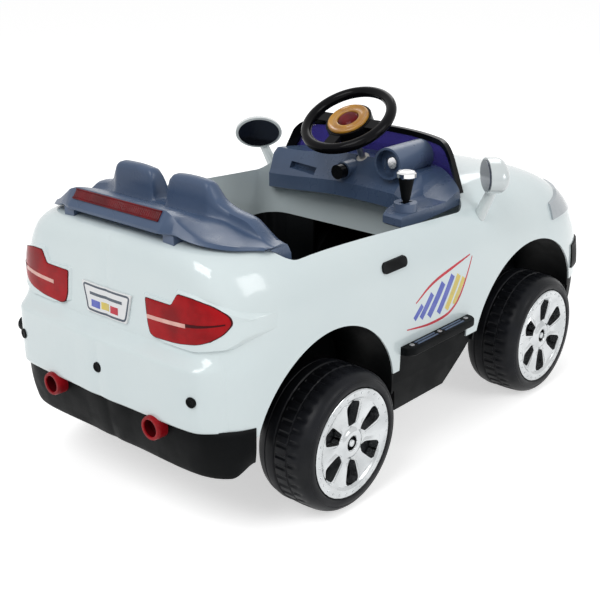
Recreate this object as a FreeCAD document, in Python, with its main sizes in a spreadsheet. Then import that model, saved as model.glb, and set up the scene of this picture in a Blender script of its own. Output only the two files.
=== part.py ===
import FreeCAD, Part
import math
import os
import re

import Sketcher
from FreeCAD import Placement, Rotation, Vector

document = FreeCAD.newDocument("RideOnCar")
sheet = document.addObject("Spreadsheet::Sheet", "Sizes")

# Driving sizes in millimetres (angles in degrees, counts and powers without unit).
# X runs forward, Y to the driver's left, Z up; the origin lies on the ground midway between the axles.
driving = {
    "wheelbase": 570,
    "tyre_radius": 114,
    "tyre_width": 103,
    "hub_plane": 284,
    "tyre_wall": 6,
    "cover_radius": 88,
    "cover_depth": 21,
    "cover_dish": 6,
    "cover_wall": 5,
    "spoke_count": 6,
    "window_inner": 27,
    "window_outer": 71,
    "window_root": 8,
    "window_tip": 17,
    "hub_core_radius": 19,
    "axle_radius": 6,
    "running_fit": 0.06,
    "clearance": 0.3,
    "nut_radius": 10,
    "nut_height": 8,
    "body_half_width": 262,
    "rear_reach": 519,
    "nose_reach": 545,
    "skirt_height": 80,
    "deck_height": 446,
    "hood_height": 430,
    "hood_drop": 112,
    "hood_start": 150,
    "rear_corner_power": 8,
    "nose_corner_power": 6,
    "rear_shoulder_power": 8,
    "nose_shoulder_power": 5.5,
    "rear_round": 58,
    "nose_round": 60,
    "nose_lean": 18,
    "bumper_step": 8,
    "bumper_tuck": 15,
    "side_bow": 48,
    "corner_pull": 45,
    "body_wall": 3,
    "bumper_edge": 181,
    "door_edge": 222,
    "door_rear": -143,
    "door_front": 49,
    "rear_arch_shift": -22,
    "rear_arch_length": 151,
    "front_arch_shift": -27,
    "front_arch_length": 180,
    "arch_base": 150,
    "arch_rise": 151,
    "cockpit_rear": -392,
    "cockpit_front": 92,
    "cockpit_half_width": 229,
    "cockpit_corner": 42,
    "cockpit_wall_low": 306,
    "tub_wall": 4,
    "tub_half_width": 252,
    "tub_rear": -440,
    "tub_nose": 470,
    "floor_low": 104,
    "floor_high": 142,
    "floor_front": 165,
    "footwell_rear": -136,
    "footwell_front": 49,
    "legroom_front": 222,
    "front_well": 126,
    "valance_low": 110,
    "valance_inset": 3,
    "valance_wall": 4,
    "step_height": 14,
    "step_reach": 262,
    "step_screw_radius": 5,
    "seat_height": 238,
    "seat_front": -152,
    "seat_rear": -338,
    "seat_wall": 5,
    "wing_low": 456,
    "wing_rear": -496,
    "wing_thick": 31,
    "wing_face": 18,
    "wing_lip": 6,
    "hump_top": 513,
    "hump_inner": 14,
    "hump_outer": 104,
    "shoulder_reach": 214,
    "leg_place": 109,
    "leg_wide": 22,
    "leg_long": 30,
    "brake_half_width": 93,
    "brake_thick": 3,
    "brake_margin": 3,
    "dash_half_width": 212,
    "dash_top": 442,
    "dash_low": 376,
    "dash_rear": 42,
    "dash_band": 32,
    "dash_bush_height": 438,
    "knob_boss_rear": 46,
    "console_rear": -84,
    "console_inner": 158,
    "console_top": 412,
    "console_thick": 22,
    "screen_radius": 303,
    "screen_front": 182,
    "screen_base": 400,
    "screen_top": 494,
    "screen_lean": 20,
    "screen_half_base": 214,
    "screen_half_top": 168,
    "screen_corner": 46,
    "screen_bar": 11,
    "screen_frame_thick": 10,
    "screen_pane_thick": 3,
    "column_tilt": 30,
    "column_radius": 6,
    "wheel_centre_x": 43,
    "wheel_centre_z": 522,
    "grip_radius": 78,
    "grip_tube": 9.5,
    "grip_hub_radius": 42,
    "grip_hub_thick": 16,
    "spoke_wide": 22,
    "spoke_thick": 9,
    "horn_ring_radius": 38,
    "horn_radius": 18,
    "horn_travel": 3,
    "horn_stand": 6,
    "bush_radius": 12,
    "bush_long": 22,
    "kingpin_place": 160,
    "kingpin_radius": 5,
    "boss_radius": 11,
    "boss_half": 17.7,
    "beam_flange": 4,
    "beam_reach": 20,
    "arm_long": 45,
    "arm_thick": 6,
    "arm_low": 103,
    "arm_pin_radius": 3,
    "rod_thick": 5,
    "rod_wide": 14,
    "crank_reach": 25,
    "crank_thick": 8,
    "crank_foot": 11,
    "slot_play": 1.2,
    "slot_long": 24,
    "case_front": -212,
    "case_rear": -327,
    "case_low": 72,
    "case_high": 192,
    "case_back": 143,
    "case_deep": 29,
    "case_wall": 3,
    "drive_teeth": 48,
    "drive_module": 1.5,
    "idler_teeth": 12,
    "large_teeth": 60,
    "fine_module": 1,
    "pinion_teeth": 12,
    "backlash": 0.3,
    "drive_wide": 10,
    "fine_wide": 8,
    "train_angle": 60,
    "motor_angle": 30,
    "sleeve_radius": 12,
    "idler_shaft": 3,
    "motor_radius": 18,
    "motor_long": 56,
    "motor_shaft": 2.5,
    "hanger_place": 96,
    "hanger_half": 10,
    "hanger_drop": 14,
    "battery_long": 94,
    "battery_wide": 150,
    "battery_high": 50,
    "pedal_hinge_x": 74,
    "pedal_place": -62,
    "pedal_long": 92,
    "pedal_wide": 64,
    "pedal_thick": 5,
    "pedal_angle": 24,
    "pedal_pin_radius": 3,
    "lever_x": -46,
    "lever_place": -192,
    "lever_shaft_radius": 5,
    "lever_high": 46,
    "lever_neck_radius": 7,
    "lever_grip_radius": 13,
    "lever_knob_radius": 16,
    "lever_knob_high": 12,
    "lever_base_radius": 19,
    "lever_base_high": 14,
    "lever_pin_radius": 3,
    "key_place": -94,
    "key_z": 459,
    "knob_place": 14,
    "knob_z": 428,
    "knob_radius": 13,
    "knob_grip": 16,
    "knob_shaft": 4,
    "key_shaft": 5,
    "key_collar": 5,
    "shaft_depth": 12,
    "pod_radius": 28,
    "pod_rear": 34,
    "pod_face": 50,
    "pod_wall": 4,
    "vent_place": 124,
    "vent_half_width": 36,
    "vent_low": 406,
    "vent_high": 418,
    "vent_deep": 10,
    "mirror_x": 95,
    "mirror_place": 266,
    "mirror_z": 456,
    "mirror_half_width": 45,
    "mirror_half_height": 29,
    "mirror_depth": 32,
    "mirror_round": 16,
    "mirror_yaw": 46,
    "glass_thick": 2,
    "plate_low": 316,
    "plate_high": 360,
    "plate_half_top": 55,
    "plate_half_low": 44,
    "plate_thick": 3,
    "lamp_proud": 3,
    "lamp_deep": 7,
    "cap_radius": 11,
    "cap_place": 118,
    "cap_height": 226,
    "exhaust_place": 105,
    "exhaust_height": 160,
    "exhaust_radius": 19,
    "exhaust_reach": 542,
    "socket_x": -486,
    "socket_height": 232,
    "socket_radius": 13,
    "socket_bore": 2.8,
    "socket_deep": 18,
    "socket_reach": 252,
    "handle_x": -153,
    "handle_height": 360,
    "handle_long": 62,
    "handle_high": 17,
}
for row, (name, value) in enumerate(driving.items(), start=1):
    sheet.set(f"A{row}", name)
    sheet.set(f"B{row}", str(value))
    sheet.setAlias(f"B{row}", name)
document.recompute()


def cell(text):
    return re.sub(r"[a-z][a-z_]+", lambda word: "Sizes." + word.group(0), str(text))


def size(text):
    return float(sheet.evalExpression(cell(text)))


pieces = []


def keep(piece, label):
    piece.Label = label
    pieces.append(piece)
    return piece


def bind(piece, **properties):
    for name, text in properties.items():
        piece.setExpression(name, cell(text))
    return piece


def place(piece, x="0", y="0", z="0", turn=None):
    if turn is not None:
        piece.Placement = Placement(Vector(), turn)
    for axis, text in zip("xyz", (x, y, z)):
        piece.setExpression(f"Placement.Base.{axis}", cell(text))
    return piece


along_x = Rotation(Vector(0, 1, 0), 90)
along_left = Rotation(Vector(1, 0, 0), -90)
along_right = Rotation(Vector(1, 0, 0), 90)


def block(length, width, height, x, y, z):
    piece = bind(document.addObject("Part::Box", "Block"), Length=length, Width=width, Height=height)
    return place(piece, x, y, z)


def rod(radius, height, x, y, z, turn=None):
    piece = bind(document.addObject("Part::Cylinder", "Rod"), Radius=radius, Height=height)
    return place(piece, x, y, z, turn)


def joined(*parts):
    piece = document.addObject("Part::MultiFuse", "Joined")
    piece.Shapes = list(parts)
    piece.Refine = True
    return piece


def less(base, *tools):
    piece = document.addObject("Part::Cut", "Less")
    piece.Base = base
    piece.Tool = tools[0] if len(tools) == 1 else joined(*tools)
    return piece


def new_body(label):
    return keep(document.addObject("PartDesign::Body", "Body"), label)


def new_sketch(body, role, offset="0"):
    sketch = body.newObject("Sketcher::SketchObject", "Sketch")
    plane = [item for item in body.Origin.OriginFeatures if item.Role == role][0]
    sketch.AttachmentSupport = (plane, [""])
    sketch.MapMode = "FlatFace"
    sketch.setExpression("AttachmentOffset.Base.z", cell(offset))
    return sketch


def fix_point(sketch, geometry, position, point):
    for kind, text in zip(("DistanceX", "DistanceY"), point):
        index = sketch.addConstraint(Sketcher.Constraint(kind, -1, 1, geometry, position, size(text)))
        sketch.setExpression(f"Constraints[{index}]", cell(text))


def add_outline(sketch, points):
    spots = [Vector(size(across), size(up), 0) for across, up in points]
    count = len(points)
    lines = []
    for index in range(count):
        segment = Part.LineSegment(spots[index], spots[(index + 1) % count])
        lines.append(sketch.addGeometry(segment))
    for index in range(count):
        following = lines[(index + 1) % count]
        sketch.addConstraint(Sketcher.Constraint("Coincident", lines[index], 2, following, 1))
    for line, point in zip(lines, points):
        fix_point(sketch, line, 1, point)


def add_circle(sketch, point, radius):
    centre = Vector(size(point[0]), size(point[1]), 0)
    circle = sketch.addGeometry(Part.Circle(centre, Vector(0, 0, 1), size(radius)))
    index = sketch.addConstraint(Sketcher.Constraint("Radius", circle, size(radius)))
    sketch.setExpression(f"Constraints[{index}]", cell(radius))
    fix_point(sketch, circle, 3, point)


def pad(body, sketch, length, both_ways=False, backwards=False):
    feature = body.newObject("PartDesign::Pad", "Pad")
    feature.Profile = sketch
    feature.Midplane = both_ways
    feature.Reversed = backwards
    return bind(feature, Length=length)


def pocket(body, sketch, length, both_ways=False, backwards=False):
    feature = body.newObject("PartDesign::Pocket", "Pocket")
    feature.Profile = sketch
    feature.Midplane = both_ways
    feature.Reversed = backwards
    return bind(feature, Length=length)


def turned(body, sketch, axis="V_Axis"):
    feature = body.newObject("PartDesign::Revolution", "Turned")
    feature.Profile = sketch
    feature.ReferenceAxis = (sketch, [axis])
    feature.Angle = 360
    return feature


def solid_piece(label, shape):
    piece = document.addObject("Part::Feature", "Solid")
    piece.Shape = shape
    return keep(piece, label)


def mirrored(shape):
    return shape.mirror(Vector(0, 0, 0), Vector(0, 1, 0))


def both_sides(shape):
    return shape.fuse(mirrored(shape)).removeSplitter()


def prism_x(outline, start, end):
    wire = Part.makePolygon([Vector(start, y, z) for y, z in outline + outline[:1]])
    return Part.Face(wire).extrude(Vector(end - start, 0, 0))


def prism_y(outline, start, end):
    wire = Part.makePolygon([Vector(x, start, z) for x, z in outline + outline[:1]])
    return Part.Face(wire).extrude(Vector(0, end - start, 0))


def grown(outline, amount):
    centre_a = sum(point[0] for point in outline) / len(outline)
    centre_b = sum(point[1] for point in outline) / len(outline)
    result = []
    for a, b in outline:
        reach = math.hypot(a - centre_a, b - centre_b)
        scale = 1 + amount / reach
        result.append((centre_a + (a - centre_a) * scale, centre_b + (b - centre_b) * scale))
    return result


def smooth(value):
    limited = min(max(value, 0), 1)
    return limited * limited * (3 - 2 * limited)


def around(spot, reach, angle):
    return spot[0] + reach * math.cos(angle), spot[1] + reach * math.sin(angle)


def closed_wire(y, outline):
    spots = [Vector(x, y, z) for x, z in outline]
    return Part.makePolygon(spots + spots[:1])


# Outer form of the body: flat-sided superellipse in plan and in section, told by two fractions.
def crown_height(x):
    height = size("hood_height") + (size("deck_height") - size("hood_height")) * (1 - smooth((x + 350) / 500))
    run = (x - size("hood_start")) / (size("nose_reach") - size("hood_start"))
    return height - size("hood_drop") * max(run, 0) ** 2.6


def skin_point(along, plan, up, section, grow):
    tuck = size("bumper_tuck") * max(0, 1 - up / 0.3) ** 2
    ledge = size("bumper_step") * smooth((up - 0.54) / 0.12)
    rear = ledge + tuck + size("rear_round") * (1 - section) - size("rear_reach") - grow
    nose = size("nose_reach") + grow - size("nose_round") * (1 - section) - size("nose_lean") * up * up - tuck
    half_length = (nose - rear) / 2 - size("corner_pull") * plan * (1 - section)
    x = (nose + rear) / 2 + along * half_length
    z = size("skirt_height") + (crown_height(x) + grow - size("skirt_height")) * up
    width = size("body_half_width") + grow - size("side_bow") * (up - 0.45) ** 2
    return Vector(x, width * plan * section, z)


corner_steps = (0, 0.18, 0.35, 0.5, 0.63, 0.74, 0.83, 0.9, 0.95, 0.982)
middle_steps = 9
upright_steps = 14


def partner(value, power):
    return (1 - abs(value) ** power) ** (1 / power)


def plan_stations():
    rear_power, nose_power = size("rear_corner_power"), size("nose_corner_power")
    rear = [(-partner(step, rear_power), step) for step in corner_steps]
    nose = [(partner(step, nose_power), step) for step in corner_steps]
    first, last = rear[-1][0], nose[-1][0]
    middle = []
    for index in range(1, middle_steps):
        along = first + (last - first) * index / middle_steps
        middle.append((along, partner(along, rear_power if along < 0 else nose_power)))
    return rear + middle + nose[::-1]


def section_stations(along):
    blend = (along + 1) / 2
    power = size("rear_shoulder_power") * (1 - blend) + size("nose_shoulder_power") * blend
    crown = [(partner(step, power), step) for step in corner_steps]
    start = crown[-1][0]
    upright = []
    for index in range(upright_steps):
        up = start * index / upright_steps
        upright.append((up, partner(up, power)))
    return upright + crown[::-1]


def body_half(grow):
    grid = []
    for along, plan in plan_stations():
        grid.append([skin_point(along, plan, up, section, grow) for up, section in section_stations(along)])
    surface = Part.BSplineSurface()
    surface.interpolate(grid)
    skin = surface.toShape()
    tight = 1e-5
    centre_edges = [edge for edge in skin.Edges if edge.BoundBox.YMax < tight]
    low_edges = [edge for edge in skin.Edges if edge.BoundBox.ZMax < size("skirt_height") + tight]
    base = Part.makeLine(grid[0][0], grid[-1][0])
    middle = Part.Face(Part.Wire(Part.__sortEdges__(centre_edges + [base])))
    bottom = Part.Face(Part.Wire(Part.__sortEdges__(low_edges + [base])))
    shell = Part.makeShell([skin, middle, bottom])
    shell.sewShape()
    solid = Part.makeSolid(shell)
    if solid.Volume < 0:
        solid.reverse()
    return solid


far = 2000


def arch_face(shift, length, grow, y):
    centre = Vector(shift, y, size("arch_base"))
    rise, half = size("arch_rise") + grow, length + grow
    low = -size("arch_base")
    rear_foot, front_foot = Vector(shift - half, y, low), Vector(shift + half, y, low)
    across, up = Vector(half, 0, 0), Vector(0, 0, rise)
    if half >= rise:
        ellipse = Part.Ellipse(centre + across, centre + up, centre)
    else:
        ellipse = Part.Ellipse(centre + up, centre + across, centre)
    disc = Part.Face(Part.Wire(ellipse.toShape()))
    corners = [rear_foot, front_foot, centre + across, centre - across, rear_foot]
    apron = Part.Face(Part.makePolygon(corners))
    return disc.extrude(Vector(0, far, 0)).fuse(apron.extrude(Vector(0, far, 0)))


half_base = size("wheelbase / 2")
gap = size("clearance")
arches = (
    (size("rear_arch_shift") - half_base, size("rear_arch_length"), size("case_back") - gap),
    (size("front_arch_shift") + half_base, size("front_arch_length"), size("front_well")),
)


def plan_prism(inset, low, high):
    rear, front = size("cockpit_rear") + inset, size("cockpit_front") - inset
    half, radius = size("cockpit_half_width") - inset, max(size("cockpit_corner") - inset, 1)
    plate = Part.makeBox(front - rear, 2 * half, high - low, Vector(rear, -half, low))
    uprights = [edge for edge in plate.Edges if edge.BoundBox.ZLength > 1]
    return plate.makeFillet(radius, uprights)


def slab(x0, x1, y0, y1, z0, z1):
    return Part.makeBox(x1 - x0, y1 - y0, z1 - z0, Vector(x0, y0, z0))


left_half = slab(-far, far, 0, far, -far, far)
outer = body_half(0)
wall = size("body_wall")
inner = body_half(-wall)
inner.translate(Vector(0, 0, -wall))
near_skin = body_half(gap)

# Lamps and trim follow the body form: outlines seen from the rear or front, on the left side.
tail_outline = [
    (85, 368), (138, 366), (150, 387), (174, 385), (216, 370), (241, 354),
    (243, 338), (226, 322), (180, 312), (122, 312), (90, 322),
]
head_outline = [(128, 330), (166, 366), (214, 360), (252, 346), (256, 322), (176, 312)]
insert_outline = [(168, 196), (176, 246), (236, 252), (262, 246), (262, 204)]
grille_outline = [(-96, 262), (-112, 300), (112, 300), (96, 262)]


def cockpit_walls():
    block_of_wall = plan_prism(-wall, size("cockpit_wall_low"), far)
    return block_of_wall.common(left_half)


cockpit_cut = plan_prism(0, size("skirt_height") - 50, far)
half_skin = outer.cut(inner.cut(cockpit_walls()))
side_cutters = [cockpit_cut]
side_cutters.append(slab(-far, far, -1, far, 0, size("bumper_edge")))
side_cutters.append(slab(size("door_rear"), size("door_front"), -1, far, 0, size("door_edge")))
for shift, length, depth in arches:
    side_cutters.append(arch_face(shift, length, 0, 0))
rear_lamp_hole = prism_x(grown(tail_outline, gap), -far, size("cockpit_rear") - 20)
head_lamp_hole = prism_x(grown(head_outline, gap), half_base + 60, far)
insert_hole = prism_x(grown(insert_outline, gap), half_base + 150, far)
grille_hole = prism_x(grown(grille_outline, gap), half_base + 150, far)
side_cutters += [rear_lamp_hole, head_lamp_hole, insert_hole, grille_hole]


def y_rod(radius, x, z, y0, y1):
    return Part.makeCylinder(radius, y1 - y0, Vector(x, y0, z), Vector(0, 1, 0))


def x_rod(radius, y, z, x0, x1):
    return Part.makeCylinder(radius, x1 - x0, Vector(x0, y, z), Vector(1, 0, 0))


tilt = math.radians(size("column_tilt"))
column_down = Vector(math.sin(tilt), 0, -math.cos(tilt))
column_start = Vector(size("wheel_centre_x"), 0, size("wheel_centre_z"))


def column_rod(radius, start, end):
    return Part.makeCylinder(radius, end - start, column_start + column_down * start, column_down)


cap_spot = (size("cap_place"), size("cap_height"))
side_cutters.append(x_rod(size("cap_radius") * 0.6 + gap, *cap_spot, -far, size("cockpit_rear") - 60))
handle_half, handle_rise = size("handle_long") / 2, size("handle_high") / 2


def handle_prism(extra):
    half, rise = handle_half + extra, handle_rise + extra
    plate = slab(size("handle_x") - half, size("handle_x") + half, 150, far,
                 size("handle_height") - rise, size("handle_height") + rise)
    ends = [edge for edge in plate.Edges if edge.BoundBox.YLength > 1]
    return plate.makeFillet(rise * 0.9, ends)


side_cutters.append(handle_prism(gap))
half_shell = half_skin.cut(side_cutters)
half_shell = max(half_shell.Solids, key=lambda item: item.Volume)
shell = half_shell.fuse(mirrored(half_shell))
socket_spot = (size("socket_x"), size("socket_height"))
socket_hole = y_rod(size("socket_radius") * 0.7 + gap, *socket_spot, 60, far)
shell = shell.cut([socket_hole, column_rod(size("bush_radius") + gap, 0, 300)])
solid_piece("body_shell", shell)


def skin_layer(outside, inside):
    return body_half(outside).cut(body_half(inside))


lamp_layer = skin_layer(size("lamp_proud"), -size("lamp_deep"))


def pair_piece(label, shape):
    return solid_piece(label, Part.makeCompound([shape, mirrored(shape)]))


def lamp_pair(label, outline, start, end):
    shape = lamp_layer.common(prism_x(outline, start, end))
    pair_piece(label, max(shape.Solids, key=lambda item: item.Volume))


lamp_pair("tail_lamps", tail_outline, -far, size("cockpit_rear") - 20)
lamp_pair("headlamps", head_outline, half_base + 60, far)
lamp_pair("corner_inserts", insert_outline, half_base + 150, far)
solid_piece("front_grille", both_sides(lamp_layer.common(prism_x(grille_outline, half_base + 150, far))))

plate_outline = [
    (-size("plate_half_low"), size("plate_low")), (-size("plate_half_top"), size("plate_high")),
    (size("plate_half_top"), size("plate_high")), (size("plate_half_low"), size("plate_low")),
]
plate_layer = body_half(gap + size("plate_thick")).cut(near_skin)
solid_piece("number_plate", both_sides(plate_layer.common(prism_x(plate_outline, -far, -400))))

pair_piece("door_handles", lamp_layer.common(handle_prism(0)))

# Round caps in the rear bumper: a stem in the hole and a head on the skin.
cap_skin = x_rod(size("cap_radius"), *cap_spot, -far, -400).common(skin_layer(4, gap))
cap_stem = x_rod(size("cap_radius") * 0.6, *cap_spot, -far, -400).common(skin_layer(4, -8))
cap_shape = cap_skin.fuse(cap_stem).removeSplitter()
pair_piece("bumper_caps", cap_shape)

# Charging socket on the left rear quarter, bored for a plug.
socket_end = size("socket_reach")
socket_head = y_rod(size("socket_radius"), *socket_spot, 150, socket_end).cut(near_skin)
socket_head = max(socket_head.Solids, key=lambda item: item.CenterOfMass.y)
socket_stem = y_rod(size("socket_radius") * 0.7, *socket_spot, socket_end - 36, socket_end)
socket_shape = socket_head.fuse(socket_stem).removeSplitter()
socket_bore = y_rod(size("socket_bore"), *socket_spot, socket_end - size("socket_deep"), far)
solid_piece("charge_socket", socket_shape.cut(socket_bore))

# Black lower bumpers under the white edge, front and rear.
valance_layer = skin_layer(-size("valance_inset"), -size("valance_inset") - size("valance_wall"))
valance_band = slab(-far, far, -1, far, size("valance_low"), size("bumper_edge") - gap)
valance = valance_layer.common(valance_band)
arch_hollows = [arch_face(shift, length, size("tub_wall") + gap, 0) for shift, length, depth in arches]
valance = valance.cut(arch_hollows)
rear_valance = valance.common(slab(-far, -half_base, -1, far, 0, far))
front_valance = valance.common(slab(half_base, far, -1, far, 0, far))
exhaust_spot = (size("exhaust_place"), size("exhaust_height"))
exhaust_neck = size("exhaust_radius") * 0.75
rear_valance = rear_valance.cut(x_rod(exhaust_neck + gap, *exhaust_spot, -far, -400))
solid_piece("rear_valance", both_sides(max(rear_valance.Solids, key=lambda item: item.Volume)))
solid_piece("front_valance", both_sides(max(front_valance.Solids, key=lambda item: item.Volume)))
exhaust_end = -size("exhaust_reach")
exhaust_face = -size("rear_reach")
exhaust = x_rod(size("exhaust_radius"), *exhaust_spot, exhaust_end, exhaust_face - 1)
exhaust = exhaust.fuse(x_rod(exhaust_neck, *exhaust_spot, exhaust_end, exhaust_face + 36)).removeSplitter()
exhaust = exhaust.cut(x_rod(exhaust_neck - 3, *exhaust_spot, exhaust_end - 1, exhaust_end + 22))
pair_piece("exhaust_tips", exhaust)

# Floor tub: pan with sills, cockpit walls and domed wheel wells, hollowed for seat, legs and drive.
pan_top = size("door_edge - step_height") - gap
floor_wall = size("tub_wall")
low, high, front_floor = size("floor_low"), size("floor_high"), size("floor_front")
well_rear, well_front = size("footwell_rear"), size("footwell_front")
pan_profile = [
    (size("tub_rear"), high + 30), (size("tub_rear") + 30, high), (well_rear - 6, high), (well_rear, low),
    (well_front - 46, low), (well_front, high), (well_front + 26, front_floor),
    (size("tub_nose") - 30, front_floor), (size("tub_nose"), front_floor + 20),
    (size("tub_nose"), pan_top), (size("tub_rear"), pan_top),
]
cavity_profile = [
    (-far, high + floor_wall), (well_rear + 3, high + floor_wall), (well_rear + 5, low + floor_wall),
    (well_front - 48, low + floor_wall), (well_front - 3, high + floor_wall),
    (well_front + 24, front_floor + floor_wall), (far, front_floor + floor_wall), (far, far), (-far, far),
]
tub_form = body_half(-size("valance_inset") - size("valance_wall") - gap)
tub_form = tub_form.common(slab(-far, far, 0, size("tub_half_width"), 0, far))
tub_inside = body_half(-wall - gap)
tray = body_half(-size("valance_inset") - size("valance_wall") - gap - floor_wall)
tray = tray.common(slab(size("tub_rear") + floor_wall, size("tub_nose") - floor_wall, 0,
                        size("tub_half_width") - floor_wall, 0, far))
pan = prism_y(pan_profile, 0, far).common(tub_form).cut(tray.common(prism_y(cavity_profile, -1, far)))
rim_high = size("cockpit_wall_low") - gap
rim_profile = pan_profile[:-2] + [(far, far), (-far, far)]
rim = plan_prism(-floor_wall, 0, rim_high).common(left_half).common(prism_y(rim_profile, 0, far))
leg_space = slab(0, size("legroom_front"), 0, size("front_well") - floor_wall, front_floor, far)
cavity = plan_prism(0, 0, far).common(left_half).fuse(leg_space).common(prism_y(cavity_profile, -1, far))
well_forms = []
well_spaces = []
for shift, length, depth in arches:
    form = arch_face(shift, length, floor_wall, depth - floor_wall)
    floor_here = high if shift < 0 else front_floor
    well_forms.append(form.common(slab(-far, far, -1, far, floor_here, far)).common(tub_inside))
    well_spaces.append(arch_face(shift, length, 0, depth))
tub_half = pan.fuse(rim).cut(cavity.cut(well_forms)).fuse(well_forms).cut(well_spaces)
tub_half = max(tub_half.Solids, key=lambda item: item.Volume)
tub = tub_half.fuse(mirrored(tub_half))

axle_height = size("tyre_radius")
train = math.radians(size("train_angle"))
motor_turn = math.radians(size("motor_angle"))
drive_span = size("(drive_teeth + idler_teeth) * drive_module / 2")
fine_span = size("(large_teeth + pinion_teeth) * fine_module / 2")
axle_spot = (-half_base, axle_height)
idler_spot = around(axle_spot, drive_span, train)
motor_spot = around(idler_spot, fine_span, motor_turn)
floor_cross = (column_start.z - front_floor - floor_wall / 2) / math.cos(tilt)
dash_cross = (column_start.z - size("dash_bush_height")) / math.cos(tilt)
bush_half = size("bush_long") / 2
motor_hole = y_rod(size("motor_radius") + gap, *motor_spot, -size("case_back") - 1, -size("case_back") + 20)
floor_hole = column_rod(size("bush_radius") + gap, floor_cross - 40, floor_cross + 40)
hanger_drop = size("hanger_drop")
hanger = slab(axle_spot[0] - hanger_drop, axle_spot[0] + hanger_drop, size("hanger_place - hanger_half"),
              size("hanger_place + hanger_half"), axle_spot[1] - hanger_drop, high + 1)
axle_hole = y_rod(size("axle_radius + running_fit"), *axle_spot, -far, far)
tub = tub.fuse([hanger, mirrored(hanger)])
solid_piece("floor_tub", tub.cut([motor_hole, floor_hole, axle_hole]))

bush_bore = column_rod(size("column_radius + running_fit"), 0, 600)
bushes = []
for crossing in (floor_cross, dash_cross):
    sleeve = column_rod(size("bush_radius"), crossing - bush_half, crossing + bush_half)
    bushes.append(sleeve.cut(bush_bore))
solid_piece("column_bushes", Part.makeCompound(bushes))

# Side steps on the sills, grooved along their length and screwed down.
step_length = "door_front - door_rear - 2 * clearance"
step_inner = "cockpit_half_width + tub_wall + clearance"
steps = []
for side in (1, -1):
    step = document.addObject("PartDesign::Body", "Step")
    steps.append(step)
    profile = new_sketch(step, "YZ_Plane", "door_rear + clearance")
    rise = "door_edge - clearance"
    add_outline(profile, [
        (f"{side} * ({step_inner})", "door_edge - step_height"),
        (f"{side} * step_reach", "door_edge - step_height"),
        (f"{side} * step_reach", f"{rise} - 3"), (f"{side} * (step_reach - 4)", rise),
        (f"{side} * ({step_inner} + 11)", rise), (f"{side} * ({step_inner} + 11)", f"{rise} - 2"),
        (f"{side} * ({step_inner} + 8)", f"{rise} - 2"), (f"{side} * ({step_inner} + 8)", rise),
        (f"{side} * ({step_inner})", rise),
    ])
    pad(step, profile, step_length)
keep(joined(*steps), "side_steps")
screws = []
for side in (1, -1):
    for share in (0.12, 0.5, 0.88):
        x = size("door_rear") + share * size("door_front - door_rear")
        base = Vector(x, side * size("step_reach - 13"), size("door_edge"))
        screws.append(Part.makeCone(size("step_screw_radius"), size("step_screw_radius") * 0.6, 2, base))
solid_piece("step_screws", Part.makeCompound(screws))

# Seat pan, open below, with a low roll at the front edge.
seat_half = "case_back - tub_wall - 2 * clearance"
seat = new_body("seat_pan")
profile = new_sketch(seat, "XZ_Plane")
add_outline(profile, [
    ("seat_rear - 18", "seat_height"), ("seat_rear - 18", "seat_height - seat_wall"),
    ("seat_front - seat_wall", "seat_height - seat_wall"),
    ("seat_front - seat_wall", "floor_high + tub_wall + clearance"),
    ("seat_front", "floor_high + tub_wall + clearance"), ("seat_front", "seat_height"),
    ("seat_front - 10", "seat_height + 4"), ("seat_front - 40", "seat_height + 4"),
    ("seat_front - 70", "seat_height"),
])
pad(seat, profile, f"2 * ({seat_half})", both_ways=True)

# Seat-back moulding: a wing tilted up to the rear, two headrest humps and shoulders running down to the belt.
# Each station gives the distance from the middle, then how far the rear edge, the face, the underside,
# the top, the foot of the back, the crest line and the crest depart from the wing's and the humps' sizes.
hump_middle = size("(hump_inner + hump_outer) / 2")
hump_in, hump_out = size("hump_inner"), size("hump_outer")
brake_end = size("brake_half_width + brake_margin")
shoulder = size("shoulder_reach")
wing_stations = (
    (0, 0, 0, 0, 0, 8, -8, -47),
    (hump_in - 2, 0, 0, 0, 0, 8, -8, -46),
    (hump_in + 3, 0, 0, 0, 0, 8, -8, -14),
    (hump_in + 12, 0, 0, 0, 0, 8, -8, -2),
    (hump_middle, 0, 0, 0, 0, 8, -8, 0),
    (hump_out - 12, 0, 0, 0, 0, 8, -8, -1),
    (brake_end, 0, 0, 0, 0, 8, -7, -3),
    (hump_out, 2, -5, 0, -2, 7, -6, -13),
    (shoulder - 102, 5, -8, 0, -4, 6, -3, -26),
    (shoulder - 92, 8, -11, 0, -12, 4, -1, -34),
    (shoulder - 78, 12, -13, -4, -21, 2, 3, -40),
    (shoulder - 59, 19, -14, -8, -31, -3, 6, -44),
    (shoulder - 42, 30, -14, -12, -36, -8, 8, -52),
    (shoulder - 22, 52, -14, -17, -42, -14, 8, -68),
    (shoulder, 92, -14, -22, -49, -20, 8, -76),
)
back_low = size("cockpit_wall_low") + 9
lip_share = size("wing_lip / wing_thick")


def wing_section(y, rear_in, face_in, low_in, top_in, base_in, crest_in, crest_drop):
    rear, low = size("wing_rear") + rear_in, size("wing_low") + low_in
    face, top = size("wing_face") + face_in, size("wing_low + wing_thick") + top_in
    base, crest = size("wing_low") + base_in, size("hump_top") + crest_drop
    ridge, inside = size("cockpit_rear") + crest_in, size("cockpit_rear")
    tall = crest - base
    outline = [
        (rear + 5, low), (rear, low + lip_share * (top - low)), (rear + face, top), (ridge - 6, base),
        (ridge - 1, base + 0.8 * tall), (ridge + 5, crest), (ridge + 16, crest), (ridge + 27, crest - 10),
        (ridge + 33, crest - 32), (inside + 34, back_low), (inside + 14, back_low), (inside + 4, low - 14),
        (inside - 8, low),
    ]
    return closed_wire(y, outline)


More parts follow.
